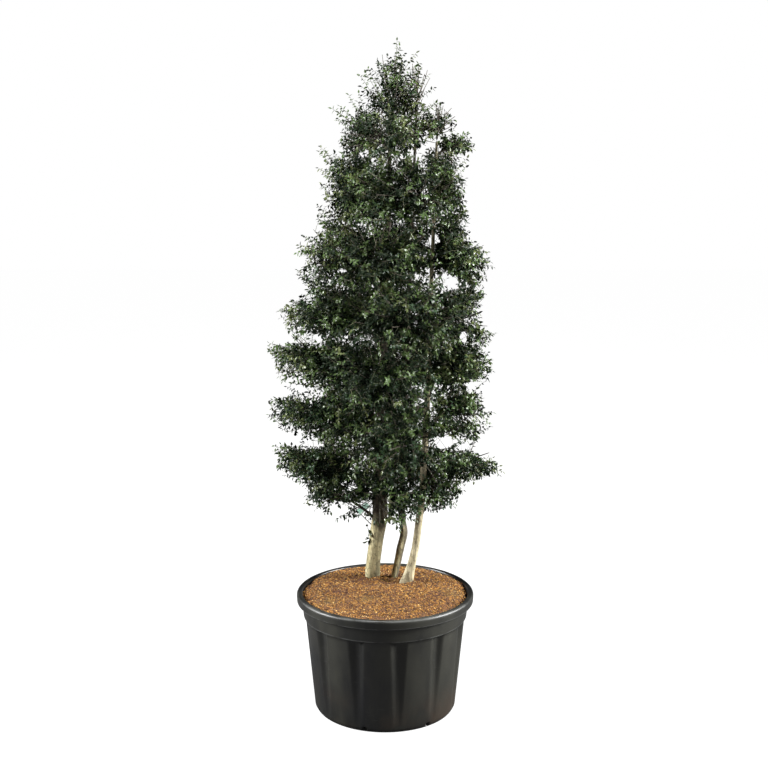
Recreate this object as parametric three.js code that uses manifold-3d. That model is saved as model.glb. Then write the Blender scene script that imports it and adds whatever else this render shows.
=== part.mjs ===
// An aquipernyi holly grown on three stems, in a round black nursery pot.
// Millimetres, +Z up. The origin is the centre of the pot's underside, and the front faces -Y.
import * as THREE from 'three';
import { mergeVertices } from 'three/addons/utils/BufferGeometryUtils.js';
import Module from 'manifold-3d';

const wasm = await Module();
wasm.setup();

// Driving sizes of the pot and its filling.
const POT_HEIGHT = 540;
const RIM_RADIUS = 400;
const RIM_DEPTH = 40;
const RIM_WIDTH = 25;
const RIM_EDGE = 2;
const RIM_ROLL = 14;
const LEDGE = 8;
const COLLAR_RADIUS = 377;
const PANEL_TOP = { radius: 361, height: 426 };
const PANEL_FOOT = { radius: 321, height: 16 };
const BASE_RADIUS = 313;
const FLOOR = 8;
const WALL = 5;
const FLUTES = 12;
const FLUTE_PHASE = 9.5;
const FLUTE_DEPTH = 16;
const FLUTE_HALF_ANGLE = 3;
const FLUTE_COLUMNS = [-6, -2.5, 2.5, 6, 15];
const SOIL_EDGE = 526;
const SOIL_CROWN = 552;
const SOIL_TOP_RADIUS = 240;
const GAP = 0.3;

// Driving sizes of the plant.
const CROWN_AXIS = new THREE.Vector2(20, 85);
const SEED = 20;
const LEAF_LENGTH = 115;
const LEAF_SLIMNESS = 0.5;
const LEAF_WIDEST = 0.45;
const LEAF_FOLD = 0.06;
const LEAF_RIDGE = 0.06;
const LEAF_DROOP = 0.14;
const LEAF_HANG = 0.7;
const LEADER_HANG = 0.1;
const HANG_RANGE = { least: 0.6, range: 0.8 };
const LEAF_RANGE = { least: 0.84, range: 0.3 };
const LEAF_TILT = 0.8;
const LEAF_FACE_UP = 0.8;
const LEAF_CLEARANCE = 7;
const LEAVES_APART = 0.36;
const LEAF_SAMPLES = { steps: 8, sides: [-1, -0.5, 0, 0.5, 1] };
const SMALLEST_LEAF = 0.58;
const LEAF_FULL_SIZE_AT = 230;
const STEM_SIDES = 4;
const STEM_RUN = { below: 0.55, short: 0.7, sag: 0.05, taper: 0.62 };
const BRANCHLET_RADIUS = 5.1;
const TWIG_RADIUS = 3.4;
const TWIG_TIP = 1.6;
const TWIG_CLEARANCE = 5.4;
const TWIG_SAMPLES = [0.3, 0.5, 0.75, 1];
const TWIGS_LEAST = 10;
const TWIGS_MOST = 20;
const TWIG_ROOM = 0.7e6;
const INNERMOST_TWIG = -0.6;
const AIM_SCATTER = 0.5;
const AIM_BACK = { least: 0.74, range: 0.16 };
const TWIG_ROOTS = { share: 0.62, start: 0.04, first: 0.06, last: 0.8 };
const SPRAY = [[3, 0], [22, 1], [44, -1]];
const SPRAY_SHARE = 0.4;
const SIDE_LEAF = { ahead: 0.5, aside: 0.8, turn: 0.3 };
const CORE_SHARES = [0.56, 0.62, 0.85];
const CORE_SINK = 0.35;
const SQUARENESS = 2.8;
const DEEPEST_LEAF = 1.25;
const NEAREST_AIM = 0.64;
const CORE_CLEARANCE = 12;
const CORE_SEGMENTS = 7;
const CORE_RINGS = 4;
const CORE_STEP = 0.05;
const CELL_STRETCH = 1.9;
const CELL_MARGIN = 1.5;
const FINEST_DETAIL = 0.05;

const GREEN = { color: 0x35492c, roughness: 0.5 };
const BARK = { color: 0x8f8768, roughness: 0.9 };

// Stems: a flared foot on the soil, the knots that the stem passes through, and its radius at each.
const STEMS = {
  thick: {
    knots: [[-59, 151, 532], [-56, 148, 614], [-44, 140, 746], [-28, 132, 844], [-26, 126, 928],
      [-12, 112, 1300], [2, 100, 1750], [14, 90, 2200], [20, 85, 2540]],
    radii: [38, 32, 32, 32, 30, 24, 18, 12, 7],
    sides: 10,
  },
  middle: {
    knots: [[41, 161, 532], [60, 156, 681], [85, 152, 812], [74, 152, 905],
      [86, 150, 1300], [106, 146, 1800], [122, 142, 2300], [134, 144, 2590]],
    radii: [19, 16, 17.5, 15, 13, 10, 7, 5],
    sides: 8,
  },
  right: {
    knots: [[94, 89, 532], [114, 92, 615], [140, 94, 746], [160, 92, 900],
      [182, 86, 1235], [200, 76, 1800], [212, 60, 2200], [222, 46, 2540]],
    radii: [30, 20, 16.5, 15.5, 14, 10, 7, 5],
    sides: 8,
  },
};

// Tiers of foliage: the height of each tier's middle, how far its tips reach from the crown's axis,
// and for two of them how far out they start.
const LEFT_TIERS = [
  [960, 390, 150], [1125, 560], [1350, 570], [1590, 560], [1800, 497], [2040, 412], [2340, 305], [2600, 225],
];
const RIGHT_TIERS = [
  [970, 330], [1135, 535], [1350, 480], [1560, 478], [1775, 490], [2065, 447], [2400, 362], [2535, 372, 195],
];
const FRONT_TIERS = { count: 7, lowest: 1025, spacing: 259, turn: 18 };
const BACK_TIERS = { count: 7, lowest: 1040, spacing: 262, turn: 20 };
const DEPTH_SHARE = 0.96;
const TIER_OVERLAP = 0.9;
const END_OVERLAP = 0.64;
const TIER_LIFT = 0.24;
const TIER_WIDTH = { least: 130, share: 0.38, most: 0.8 };
const INNER_SHARE = 0.32;
const BARK_ROOM = 26;
const FURTHEST_BACK = -30;
const BOUGH_ENTRY = 0.62;
const BOUGH_RISE = { least: 85, share: 0.35 };
const BOUGH_BEND = { at: 0.55, lift: 0.1 };
const BOUGH_RADIUS = { least: 4.2, share: 0.014 };
const BOUGH_TAPER = [1.3, 1, 0.75];
const BOUGH_SIDES = 5;
const SHORTEST_BOUGH = 45;
const BOUGH_STEP = 0.05;
const LEADERS = [
  { name: 'apex', stem: 'thick', tip: [50, 85, 2935], spread: 140, pull: 260 },
  { name: 'second', stem: 'middle', tip: [148, 150, 2905], spread: 125, pull: 255 },
  { name: 'side', stem: 'right', tip: [232, 30, 2725], spread: 120, pull: 245 },
];
const LEADER_LEAD = 12;
const BOUGHS_BELOW = 2050;
const TIP_LEFT = 25;

const TAG = {
  bough: 'left_1', place: 0.15, direction: [0.8, -0.2, 0.55], length: 64, width: 22, thickness: 1.2, sides: 8,
};

const part = new THREE.Group();

function add(name, geometry, look) {
  const mesh = new THREE.Mesh(geometry, new THREE.MeshStandardMaterial(look));
  mesh.name = name;
  part.add(mesh);
}

// A seeded generator: each call gives the next number from 0 to 1.
function seeded(seed) {
  let state = Math.imul(seed + 1, 2654435761) >>> 0;
  return () => {
    state = (Math.imul(state, 1664525) + 1013904223) >>> 0;
    return state / 4294967296;
  };
}

const vector = (...values) => new THREE.Vector3(...values);
const mix = (a, b, share) => a.clone().lerp(b, share);

function solidOf(geometry) {
  const bare = new THREE.BufferGeometry().setAttribute('position', geometry.getAttribute('position'));
  bare.setIndex(geometry.index);
  const merged = mergeVertices(bare, 1e-3);
  const faces = new Uint32Array(merged.index.array);
  const build = (triVerts) => new wasm.Manifold(new wasm.Mesh({
    numProp: 3,
    vertProperties: merged.attributes.position.array,
    triVerts,
  }));
  const solid = build(faces);
  return solid.volume() > 0 ? solid : build(faces.reverse());
}

function geometryOf(solid) {
  const mesh = solid.getMesh();
  const geometry = new THREE.BufferGeometry();
  geometry.setAttribute('position', new THREE.BufferAttribute(mesh.vertProperties, 3));
  geometry.setIndex(new THREE.BufferAttribute(mesh.triVerts, 1));
  geometry.computeVertexNormals();
  return geometry;
}

// The largest body of a solid: loose scraps go, and a hollow that fusing sealed is filled.
function largestBody(solid) {
  return solid.decompose().reduce((best, body) => (body.volume() > best.volume() ? body : best));
}

function facesToGeometry(points, faces) {
  const geometry = new THREE.BufferGeometry();
  geometry.setAttribute('position', new THREE.Float32BufferAttribute(points.flatMap((p) => p.toArray()), 3));
  geometry.setIndex(faces);
  return geometry;
}

// A tapering limb along a list of points, with flat ends.
function limbGeometry(points, radii, sides) {
  const rings = [];
  let across = null;
  points.forEach((point, i) => {
    const before = points[Math.max(i - 1, 0)];
    const after = points[Math.min(i + 1, points.length - 1)];
    const along = after.clone().sub(before).normalize();
    if (!across) across = Math.abs(along.x) < 0.8 ? vector(1, 0, 0) : vector(0, 1, 0);
    across = across.clone().addScaledVector(along, -across.dot(along)).normalize();
    const side = along.clone().cross(across);
    for (let k = 0; k < sides; k += 1) {
      const angle = (2 * Math.PI * k) / sides;
      rings.push(point.clone()
        .addScaledVector(across, Math.cos(angle) * radii[i])
        .addScaledVector(side, Math.sin(angle) * radii[i]));
    }
  });
  const faces = [];
  for (let i = 0; i + 1 < points.length; i += 1) {
    for (let k = 0; k < sides; k += 1) {
      const a = i * sides + k;
      const b = i * sides + ((k + 1) % sides);
      faces.push(a, b, b + sides, a, b + sides, a + sides);
    }
  }
  const last = (points.length - 1) * sides;
  for (let k = 1; k + 1 < sides; k += 1) {
    faces.push(0, k + 1, k, last, last + k, last + k + 1);
  }
  return facesToGeometry(rings, faces);
}

// A pointed leaf: its two edges, its tip and the ridge along its middle, from the root at its stalk.
function leafPoints(root, along, normal, length) {
  const width = length * LEAF_SLIMNESS;
  const side = along.clone().cross(normal).normalize();
  const middle = root.clone().addScaledVector(along, length * LEAF_WIDEST);
  const left = middle.clone().addScaledVector(side, width / 2).addScaledVector(normal, -width * LEAF_FOLD);
  const right = middle.clone().addScaledVector(side, -width / 2).addScaledVector(normal, -width * LEAF_FOLD);
  const tip = root.clone().addScaledVector(along, length).addScaledVector(normal, -length * LEAF_DROOP);
  const ridge = middle.addScaledVector(normal, width * LEAF_RIDGE);
  return { left, right, tip, ridge };
}

function sideLeafSolid(root, { left, right, tip, ridge }) {
  const faces = [0, 1, 4, 0, 4, 2, 4, 1, 3, 2, 4, 3, 0, 2, 1, 1, 2, 3];
  return solidOf(facesToGeometry([root, left, right, tip, ridge], faces));
}

// A three-sided twig that runs on into the leaf at its end.
function twigSolid(root, seat, normal, { left, right, tip, ridge }) {
  const heading = seat.clone().sub(root).normalize();
  const side = heading.clone().cross(normal).normalize();
  const up = side.clone().cross(heading);
  const ring = (centre, radius) => [0, 1, 2].map((k) => centre.clone()
    .addScaledVector(up, Math.cos((2 * Math.PI * k) / 3) * radius)
    .addScaledVector(side, Math.sin((2 * Math.PI * k) / 3) * radius));
  const points = [...ring(root, TWIG_RADIUS), ...ring(seat, TWIG_TIP), left, right, tip, ridge];
  const stalk = [0, 2, 1, 0, 1, 4, 0, 4, 3, 1, 2, 5, 1, 5, 4, 2, 0, 3, 2, 3, 5];
  const blade = [3, 4, 6, 3, 6, 9, 5, 3, 7, 3, 9, 7, 4, 5, 7, 4, 7, 6, 9, 6, 8, 7, 9, 8, 6, 7, 8];
  return solidOf(facesToGeometry(points, [...stalk, ...blade]));
}

// Pot and soil: a profile turned round the axis, on columns that follow the flutes.
function turned(profile) {
  const columns = FLUTES * FLUTE_COLUMNS.length;
  const lathe = new THREE.LatheGeometry(profile.map(([r, z]) => new THREE.Vector2(r, z)), columns);
  const position = lathe.getAttribute('position');
  for (let c = 0; c <= columns; c += 1) {
    const offset = FLUTE_COLUMNS[c % FLUTE_COLUMNS.length];
    const flute = Math.floor(c / FLUTE_COLUMNS.length);
    const angle = THREE.MathUtils.degToRad(FLUTE_PHASE + (flute * 360) / FLUTES + offset);
    profile.forEach(([radius, height], row) => {
      const pressed = height === PANEL_TOP.height && Math.abs(offset) < FLUTE_HALF_ANGLE;
      const r = radius - (pressed ? FLUTE_DEPTH : 0);
      position.setXYZ(c * profile.length + row, r * Math.sin(angle), -r * Math.cos(angle), height);
    });
  }
  return geometryOf(solidOf(lathe));
}

// The pot's inner wall from the floor up, through the line where the soil meets it.
const INNER_WALL = [
  [BASE_RADIUS - WALL, FLOOR],
  [PANEL_FOOT.radius - WALL, PANEL_FOOT.height],
  [PANEL_TOP.radius - WALL, PANEL_TOP.height],
  [RIM_RADIUS - RIM_WIDTH - WALL, SOIL_EDGE],
  [RIM_RADIUS - RIM_WIDTH, POT_HEIGHT - RIM_EDGE],
];

function makePot() {
  const rimFoot = POT_HEIGHT - RIM_DEPTH;
  const outside = [
    [0, 0], [BASE_RADIUS, 0], [PANEL_FOOT.radius, PANEL_FOOT.height], [PANEL_TOP.radius, PANEL_TOP.height],
    [COLLAR_RADIUS - LEDGE, PANEL_TOP.height + LEDGE], [COLLAR_RADIUS, rimFoot],
    [RIM_RADIUS - RIM_EDGE, rimFoot],
    [RIM_RADIUS, POT_HEIGHT - RIM_ROLL], [RIM_RADIUS - RIM_ROLL / 2, POT_HEIGHT - RIM_EDGE],
    [RIM_RADIUS - RIM_ROLL, POT_HEIGHT],
  ];
  const inside = [...INNER_WALL.toReversed(), [0, FLOOR]];
  add('pot', turned([...outside, ...inside]), { color: 0x1d1f20, roughness: 0.45 });
}

function makeSoil() {
  const wall = INNER_WALL.slice(0, -1).map(([radius, height]) => [radius - 2 * GAP, height]);
  wall[0][1] += GAP;
  const profile = [[0, SOIL_CROWN], [SOIL_TOP_RADIUS, SOIL_CROWN], ...wall.toReversed(), [0, FLOOR + GAP]];
  add('soil', turned(profile), { color: 0x8a5a38, roughness: 1 });
}

// Limbs: each keeps its centre line and radii, so that what grows later can keep clear of it.
const limbs = [];

function keepLimb(name, points, radii, sides, owner = null) {
  const heel = points.at(-1).clone().sub(points.at(-2)).normalize();
  const past = points.at(-1).clone().addScaledVector(heel, GAP / 2);
  const wide = solidOf(limbGeometry([...points.slice(0, -1), past], radii.map((r) => r + GAP), sides));
  const limb = { name, points, radii, heel, wide, owner };
  limbs.push(limb);
  return limb;
}

// The middle of a limb at a height, or a little under its tip where the height is above it.
function pointAt(limb, heightWanted) {
  const height = Math.min(heightWanted, limb.points.at(-1).z - TIP_LEFT);
  const i = Math.max(limb.points.findIndex((p) => p.z >= height), 1);
  const share = (height - limb.points[i - 1].z) / (limb.points[i].z - limb.points[i - 1].z);
  return mix(limb.points[i - 1], limb.points[i], share);
}

function makeStems() {
  for (const [name, { knots, radii, sides }] of Object.entries(STEMS)) {
    const limb = keepLimb(name, knots.map((k) => vector(...k)), radii, sides);
    const solid = solidOf(limbGeometry(limb.points, radii, sides));
    add(`stem_${name}`, geometryOf(solid.trimByPlane([0, 0, 1], SOIL_CROWN + GAP)), BARK);
  }
}

const stemNamed = (name) => limbs.find((limb) => limb.name === name);

// Room between a point of a mass and the nearest bark of a limb that isn't the mass's own.
function roomAt(point, mass) {
  let room = Infinity;
  for (const limb of limbs) {
    if (limb.owner === mass) continue;
    for (let i = 0; i + 1 < limb.points.length; i += 1) {
      const line = new THREE.Line3(limb.points[i], limb.points[i + 1]);
      const share = line.closestPointToPointParameter(point, true);
      const radius = THREE.MathUtils.lerp(limb.radii[i], limb.radii[i + 1], share);
      room = Math.min(room, line.at(share, vector()).distanceTo(point) - radius);
    }
  }
  return room;
}

// The space of a mass: a rounded box round its middle, with one axis out along its own limb.
function space(name, stem, middle, outward, reach, width, height) {
  const across = outward.clone().cross(vector(0, 0, 1)).normalize();
  if (across.lengthSq() < 0.5) across.set(1, 0, 0);
  const up = across.clone().cross(outward).normalize();
  const axes = [outward, across, up];
  const sizes = [reach, width, height];
  const upright = Math.hypot(...axes.map((axis, i) => axis.z * sizes[i]));
  const pull = ((reach + width + height + (CELL_STRETCH - 1) * upright) / 3) ** 2;
  const roominess = Math.cbrt(reach * width * height) / LEAF_FULL_SIZE_AT;
  const leaf = LEAF_LENGTH * THREE.MathUtils.clamp(roominess, SMALLEST_LEAF, 1);
  return { name, stem, middle, axes, sizes, pull, leaf };
}

function tierSpace(name, stem, azimuth, [height, reach, gapInside = 0], halfHeight) {
  const angle = THREE.MathUtils.degToRad(azimuth);
  const out = vector(Math.cos(angle), Math.sin(angle), 0);
  const bark = pointAt(stemNamed(stem), height);
  const axis = vector(CROWN_AXIS.x, CROWN_AXIS.y, height);
  const outsideBark = Math.max(bark.clone().sub(axis).dot(out), FURTHEST_BACK) + BARK_ROOM;
  const inner = Math.max(Math.min(outsideBark, reach * INNER_SHARE), gapInside);
  const half = (reach - inner) / 2;
  const middle = axis.addScaledVector(out, inner + half);
  const width = Math.min(TIER_WIDTH.least + reach * TIER_WIDTH.share, reach * TIER_WIDTH.most);
  return space(name, stem, middle, vector(out.x, out.y, TIER_LIFT).normalize(), half, width, halfHeight);
}

// How far the hidden front and back tiers reach: as far as the left and right tiers at that height.
function reachAt(height) {
  const along = (tiers) => {
    const above = tiers.findIndex(([z]) => z >= height);
    const i = above < 0 ? tiers.length - 1 : Math.max(1, above);
    const [[z0, r0], [z1, r1]] = [tiers[i - 1], tiers[i]];
    return THREE.MathUtils.lerp(r0, r1, THREE.MathUtils.clamp((height - z0) / (z1 - z0), 0, 1));
  };
  return (along(LEFT_TIERS) + along(RIGHT_TIERS)) / 2;
}

function sideSpaces(side, stem, azimuth, tiers) {
  return tiers.map((tier, i) => {
    const below = tiers[Math.max(i - 1, 0)][0];
    const above = tiers[Math.min(i + 1, tiers.length - 1)][0];
    const inside = i > 0 && i + 1 < tiers.length;
    const halfHeight = inside ? ((above - below) / 2) * TIER_OVERLAP : (above - below) * END_OVERLAP;
    return tierSpace(`${side}_${i + 1}`, stem, azimuth, tier, halfHeight);
  });
}

function ringSpaces(side, stems, azimuth, { count, lowest, spacing, turn }) {
  return Array.from({ length: count }, (_, i) => {
    const height = lowest + i * spacing;
    const turned = azimuth + (i % 2 ? turn : -turn);
    const overlap = i > 0 && i + 1 < count ? TIER_OVERLAP : END_OVERLAP;
    const tier = [height, reachAt(height) * DEPTH_SHARE];
    return tierSpace(`${side}_${i + 1}`, stems[i % 2], turned, tier, spacing * overlap);
  });
}

function leaderSpace({ name, stem, tip, spread, pull }) {
  const top = stemNamed(stem).points.at(-1);
  const out = vector(...tip).sub(top);
  const reach = out.length() / 2 + LEADER_LEAD;
  const middle = mix(top, vector(...tip), 0.5);
  const leader = space(name, stem, middle, out.normalize(), reach, spread, spread);
  return { ...leader, pull: pull ** 2, leader: true };
}

// A point's power distance to a mass, in a frame where heights count for more.
function pullOf(mass, point) {
  const d = point.clone().sub(mass.middle);
  return d.x * d.x + d.y * d.y + (CELL_STRETCH * d.z) ** 2 - mass.pull;
}

// A mass owns the points whose power distance to it is least: its cell, with flat sides.
function keepsToCell(mass, point) {
  const own = pullOf(mass, point);
  return spaces.every((other) => {
    if (other === mass) return true;
    const apart = other.middle.distanceTo(mass.middle);
    return pullOf(other, point) - own > 2 * apart * CELL_STRETCH * CELL_MARGIN;
  });
}

function depthIn(mass, point) {
  const d = point.clone().sub(mass.middle);
  const shares = mass.axes.map((axis, i) => Math.abs(d.dot(axis) / mass.sizes[i]));
  return shares.reduce((total, share) => total + share ** SQUARENESS, 0) ** (1 / SQUARENESS);
}

// A direction in a mass, lengthened until it meets the outside of its rounded box.
function boxed(shares) {
  const sum = shares.reduce((total, share) => total + Math.abs(share) ** SQUARENESS, 0);
  return shares.map((share) => share / sum ** (1 / SQUARENESS));
}

// A point in a mass, from its shares of the space's three sizes.
function spotIn(mass, shares, scale = 1) {
  const spot = mass.middle.clone();
  mass.axes.forEach((axis, i) => spot.addScaledVector(axis, shares[i] * mass.sizes[i] * scale));
  return spot;
}

function isFree(mass, points, clearance) {
  return points.every((point) => depthIn(mass, point) < DEEPEST_LEAF && keepsToCell(mass, point)
    && roomAt(point, mass) > clearance);
}

// A bough rises from its stem and bends out level, up to where it enters its mass.
function makeBoughs() {
  for (const mass of spaces) {
    if (mass.leader || mass.middle.z > BOUGHS_BELOW) continue;
    const trunk = stemNamed(mass.stem);
    const reach = mass.sizes[0];
    let inset = -BOUGH_ENTRY;
    while (roomAt(spotIn(mass, [inset, 0, 0]), mass) < SHORTEST_BOUGH) inset += BOUGH_STEP;
    const entry = spotIn(mass, [inset, 0, 0]);
    const rise = BOUGH_RISE.least + reach * BOUGH_RISE.share;
    const root = pointAt(trunk, entry.z - rise);
    const bend = mix(root, entry, BOUGH_BEND.at).add(vector(0, 0, rise * BOUGH_BEND.lift));
    const radius = BOUGH_RADIUS.least + reach * BOUGH_RADIUS.share;
    const radii = BOUGH_TAPER.map((share) => radius * share);
    mass.bough = keepLimb(mass.name, [root, bend, entry], radii, BOUGH_SIDES);
    const whole = solidOf(limbGeometry(mass.bough.points, radii, BOUGH_SIDES));
    add(`bough_${mass.name}`, geometryOf(largestBody(whole.subtract(trunk.wide))), BARK);
  }
}

// A blank tag: a flat strip that stands out from the sleeve that it makes round a low bough.
function makeTag() {
  const bough = limbs.find((limb) => limb.name === TAG.bough);
  const [, bend, end] = bough.points;
  const at = mix(bend, end, TAG.place);
  const along = end.clone().sub(bend).normalize();
  const out = vector(...TAG.direction);
  out.addScaledVector(along, -along.dot(out)).normalize();
  const sleeveRadius = bough.radii[1] + 2 * TAG.thickness;
  const ends = [-0.5, 0.5].map((share) => at.clone().addScaledVector(along, share * TAG.width));
  const sleeve = solidOf(limbGeometry(ends, [sleeveRadius, sleeveRadius], TAG.sides));
  const strip = new THREE.BoxGeometry(TAG.length, TAG.width, TAG.thickness);
  strip.applyMatrix4(new THREE.Matrix4().makeBasis(out, along, out.clone().cross(along))
    .setPosition(at.clone().addScaledVector(out, TAG.length / 2)));
  const tag = sleeve.add(solidOf(strip)).subtract(bough.wide);
  add('tag', geometryOf(tag), { color: 0xa9c6ae, roughness: 0.5 });
  keepLimb('tag', [at, at.clone().addScaledVector(out, TAG.length)], [TAG.width / 2, TAG.width / 2], 4);
}

// The dense heart of a mass: a ball that fills its share of the space, or less beside a limb.
function coreOf(mass) {
  const ball = new THREE.SphereGeometry(1, CORE_SEGMENTS, CORE_RINGS);
  const position = ball.getAttribute('position');
  const sinks = mass.leader ? [-CORE_SINK, -CORE_SINK / 2, 0] : [0];
  const sink = sinks.find((share) => isFree(mass, [spotIn(mass, [share, 0, 0])], CORE_CLEARANCE));
  if (sink === undefined) return [];
  for (let i = 0; i < position.count; i += 1) {
    const shares = boxed(vector().fromBufferAttribute(position, i).normalize().toArray());
    const wanted = shares.map((share, k) => share * CORE_SHARES[k]);
    const at = (scale) => spotIn(mass, [sink + wanted[0] * scale, wanted[1] * scale, wanted[2] * scale]);
    let scale = 1;
    while (scale > CORE_STEP && !isFree(mass, [at(scale)], CORE_CLEARANCE)) scale -= CORE_STEP;
    position.setXYZ(i, ...at(scale).toArray());
  }
  return [solidOf(ball)];
}

// Where the twigs of a mass grow out to: points spread evenly over its outside, less a leaf's length.
function twigAims(mass, count, random) {
  const golden = Math.PI * (3 - Math.sqrt(5));
  const aims = [];
  for (let k = 0; k < count; k += 1) {
    const out = 1 - (2 * (k + 0.5)) / count;
    const round = Math.sqrt(1 - out * out);
    const angle = golden * k + random() * AIM_SCATTER;
    const back = mass.leaf * (AIM_BACK.least + AIM_BACK.range * random());
    if (out < INNERMOST_TWIG) continue;
    const shares = boxed([out, round * Math.cos(angle), round * Math.sin(angle)]);
    const scales = mass.sizes.map((size) => Math.max(1 - back / size, NEAREST_AIM));
    aims.push(spotIn(mass, shares.map((share, i) => share * scales[i])));
  }
  return aims;
}

// Points over a leaf, close enough together that no limb passes between them.
function leafSamples(root, { left, right, tip }) {
  const middle = mix(left, right, 0.5);
  const samples = [];
  for (let i = 0; i <= LEAF_SAMPLES.steps; i += 1) {
    const share = i / LEAF_SAMPLES.steps;
    const spread = share < LEAF_WIDEST ? share / LEAF_WIDEST : (1 - share) / (1 - LEAF_WIDEST);
    const line = share < LEAF_WIDEST ? mix(root, middle, spread) : mix(tip, middle, spread);
    for (const side of LEAF_SAMPLES.sides) {
      samples.push(line.clone().addScaledVector(left.clone().sub(right), (side * spread) / 2));
    }
  }
  return samples;
}

// A spray: the leaf at the twig's end points on along it, the others out to its left and right.
function makeSpray(mass, root, aim, random, kept) {
  const heading = aim.clone().sub(root).normalize();
  const level = heading.clone().cross(vector(0, 0, 1)).normalize();
  const outward = vector(aim.x - CROWN_AXIS.x, aim.y - CROWN_AXIS.y, 0).normalize();
  const solids = [];
  for (const [behind, hand] of SPRAY) {
    const back = Math.min(behind, root.distanceTo(aim) * SPRAY_SHARE);
    const seat = aim.clone().addScaledVector(heading, -back);
    const tilt = (random() - 0.5) * LEAF_TILT;
    const hang = mass.leader ? LEADER_HANG : LEAF_HANG;
    const droop = hang * (HANG_RANGE.least + HANG_RANGE.range * random());
    const along = heading.clone().multiplyScalar(hand ? SIDE_LEAF.ahead : 1)
      .addScaledVector(level, hand * SIDE_LEAF.aside + tilt * SIDE_LEAF.turn)
      .add(vector(0, 0, -droop))
      .normalize();
    const normal = outward.clone().add(vector(0, 0, LEAF_FACE_UP)).addScaledVector(level, tilt);
    normal.addScaledVector(along, -normal.dot(along)).normalize();
    const length = mass.leaf * (LEAF_RANGE.least + LEAF_RANGE.range * random());
    const leaf = leafPoints(seat, along, normal, length);
    const crowded = kept.some((other) => other.distanceTo(leaf.ridge) < mass.leaf * LEAVES_APART);
    const fits = !crowded && isFree(mass, leafSamples(seat, leaf), LEAF_CLEARANCE);
    if (!fits && hand === 0) return [];
    if (!fits) continue;
    kept.push(leaf.ridge);
    solids.push(hand ? sideLeafSolid(seat, leaf) : twigSolid(root, seat, normal, leaf));
  }
  return solids;
}

// The stem inside a mass: it goes on from its bough's tip, or leaves the trunk, and runs to the far end.
function plantStem(mass) {
  const [out] = mass.axes;
  const [reach] = mass.sizes;
  const limb = mass.bough || stemNamed(mass.stem);
  const fromTip = mass.bough || mass.leader;
  const start = fromTip ? limb.points.at(-1).clone().addScaledVector(limb.heel, GAP)
    : pointAt(limb, mass.middle.z - reach * STEM_RUN.below);
  const far = mass.middle.clone().addScaledVector(out, reach - mass.leaf * STEM_RUN.short);
  const bend = mix(start, far, 0.5).add(vector(0, 0, -reach * STEM_RUN.sag));
  const radius = fromTip ? limb.radii.at(-1) : BRANCHLET_RADIUS;
  const square = start.clone().addScaledVector(limb.heel, radius);
  const points = fromTip ? [start, square, bend, far] : [start, bend, far];
  const taper = [radius, radius * STEM_RUN.taper, TWIG_TIP];
  mass.spine = keepLimb(`${mass.name}_stem`, points, fromTip ? [radius, ...taper] : taper, STEM_SIDES, mass);
}

// A mass of foliage: its stem and heart, and a spray of leaves on each twig that grows from the stem.
function growMass(mass, index) {
  const random = seeded(SEED + index);
  const [out] = mass.axes;
  const [reach, width, height] = mass.sizes;
  const { points, radii } = mass.spine;
  const [start, far] = [points[0], points.at(-1)];
  const pieces = [solidOf(limbGeometry(points, radii, STEM_SIDES)), ...coreOf(mass)];
  const room = (reach * width * height) / TWIG_ROOM;
  const count = Math.round(THREE.MathUtils.clamp(TWIGS_LEAST + room, 0, TWIGS_MOST));
  const kept = [];
  for (const aim of twigAims(mass, count, random)) {
    const inward = aim.clone().sub(start).dot(out) / (2 * reach);
    const place = TWIG_ROOTS.start + inward * TWIG_ROOTS.share;
    const root = mix(start, far, THREE.MathUtils.clamp(place, TWIG_ROOTS.first, TWIG_ROOTS.last));
    const along = TWIG_SAMPLES.map((share) => mix(root, aim, share));
    if (!isFree(mass, along, TWIG_CLEARANCE)) continue;
    pieces.push(...makeSpray(mass, root, aim, random, kept));
  }
  let solid = wasm.Manifold.union(pieces);
  for (const limb of limbs) {
    if (limb.owner !== mass) solid = solid.subtract(limb.wide);
  }
  const body = largestBody(solid.simplify(FINEST_DETAIL));
  add(`foliage_${mass.name}`, geometryOf(body), GREEN);
}

makePot();
makeSoil();
makeStems();
const spaces = [
  ...sideSpaces('left', 'thick', 180, LEFT_TIERS),
  ...sideSpaces('right', 'right', 0, RIGHT_TIERS),
  ...ringSpaces('front', ['thick', 'right'], 270, FRONT_TIERS),
  ...ringSpaces('back', ['middle', 'middle'], 90, BACK_TIERS),
  ...LEADERS.map(leaderSpace),
];
makeBoughs();
makeTag();
spaces.forEach(plantStem);
spaces.forEach(growMass);

export default part;
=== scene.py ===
# %% [markdown]
# # A holly tree in a nursery pot
#
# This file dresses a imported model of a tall, three-stemmed holly that stands in a round black
# pot. The model gives the sizes and places. This file makes what a person would look at: the
# moulded pot, the loose soil, the bark, and some ninety thousand small glossy leaves.
#
# Growth is worked out in millimetres, as a gardener would measure it, and turned into metres
# when a mesh is made.

# %% The frame
import math
import bpy
import numpy as np
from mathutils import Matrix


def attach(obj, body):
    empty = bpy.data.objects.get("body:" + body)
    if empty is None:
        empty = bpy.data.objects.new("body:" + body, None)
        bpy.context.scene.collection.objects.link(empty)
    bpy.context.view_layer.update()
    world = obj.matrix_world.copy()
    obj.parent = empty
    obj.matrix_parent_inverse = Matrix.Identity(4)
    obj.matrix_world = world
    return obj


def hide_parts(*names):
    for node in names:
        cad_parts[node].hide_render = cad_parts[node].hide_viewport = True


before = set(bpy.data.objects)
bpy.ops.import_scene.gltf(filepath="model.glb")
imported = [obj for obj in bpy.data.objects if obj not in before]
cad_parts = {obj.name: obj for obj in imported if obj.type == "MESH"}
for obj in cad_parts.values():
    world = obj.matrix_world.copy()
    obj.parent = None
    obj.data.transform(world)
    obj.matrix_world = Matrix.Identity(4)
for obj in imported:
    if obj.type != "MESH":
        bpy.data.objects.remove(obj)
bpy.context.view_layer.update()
MM = 0.001
BODY = "root"
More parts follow.
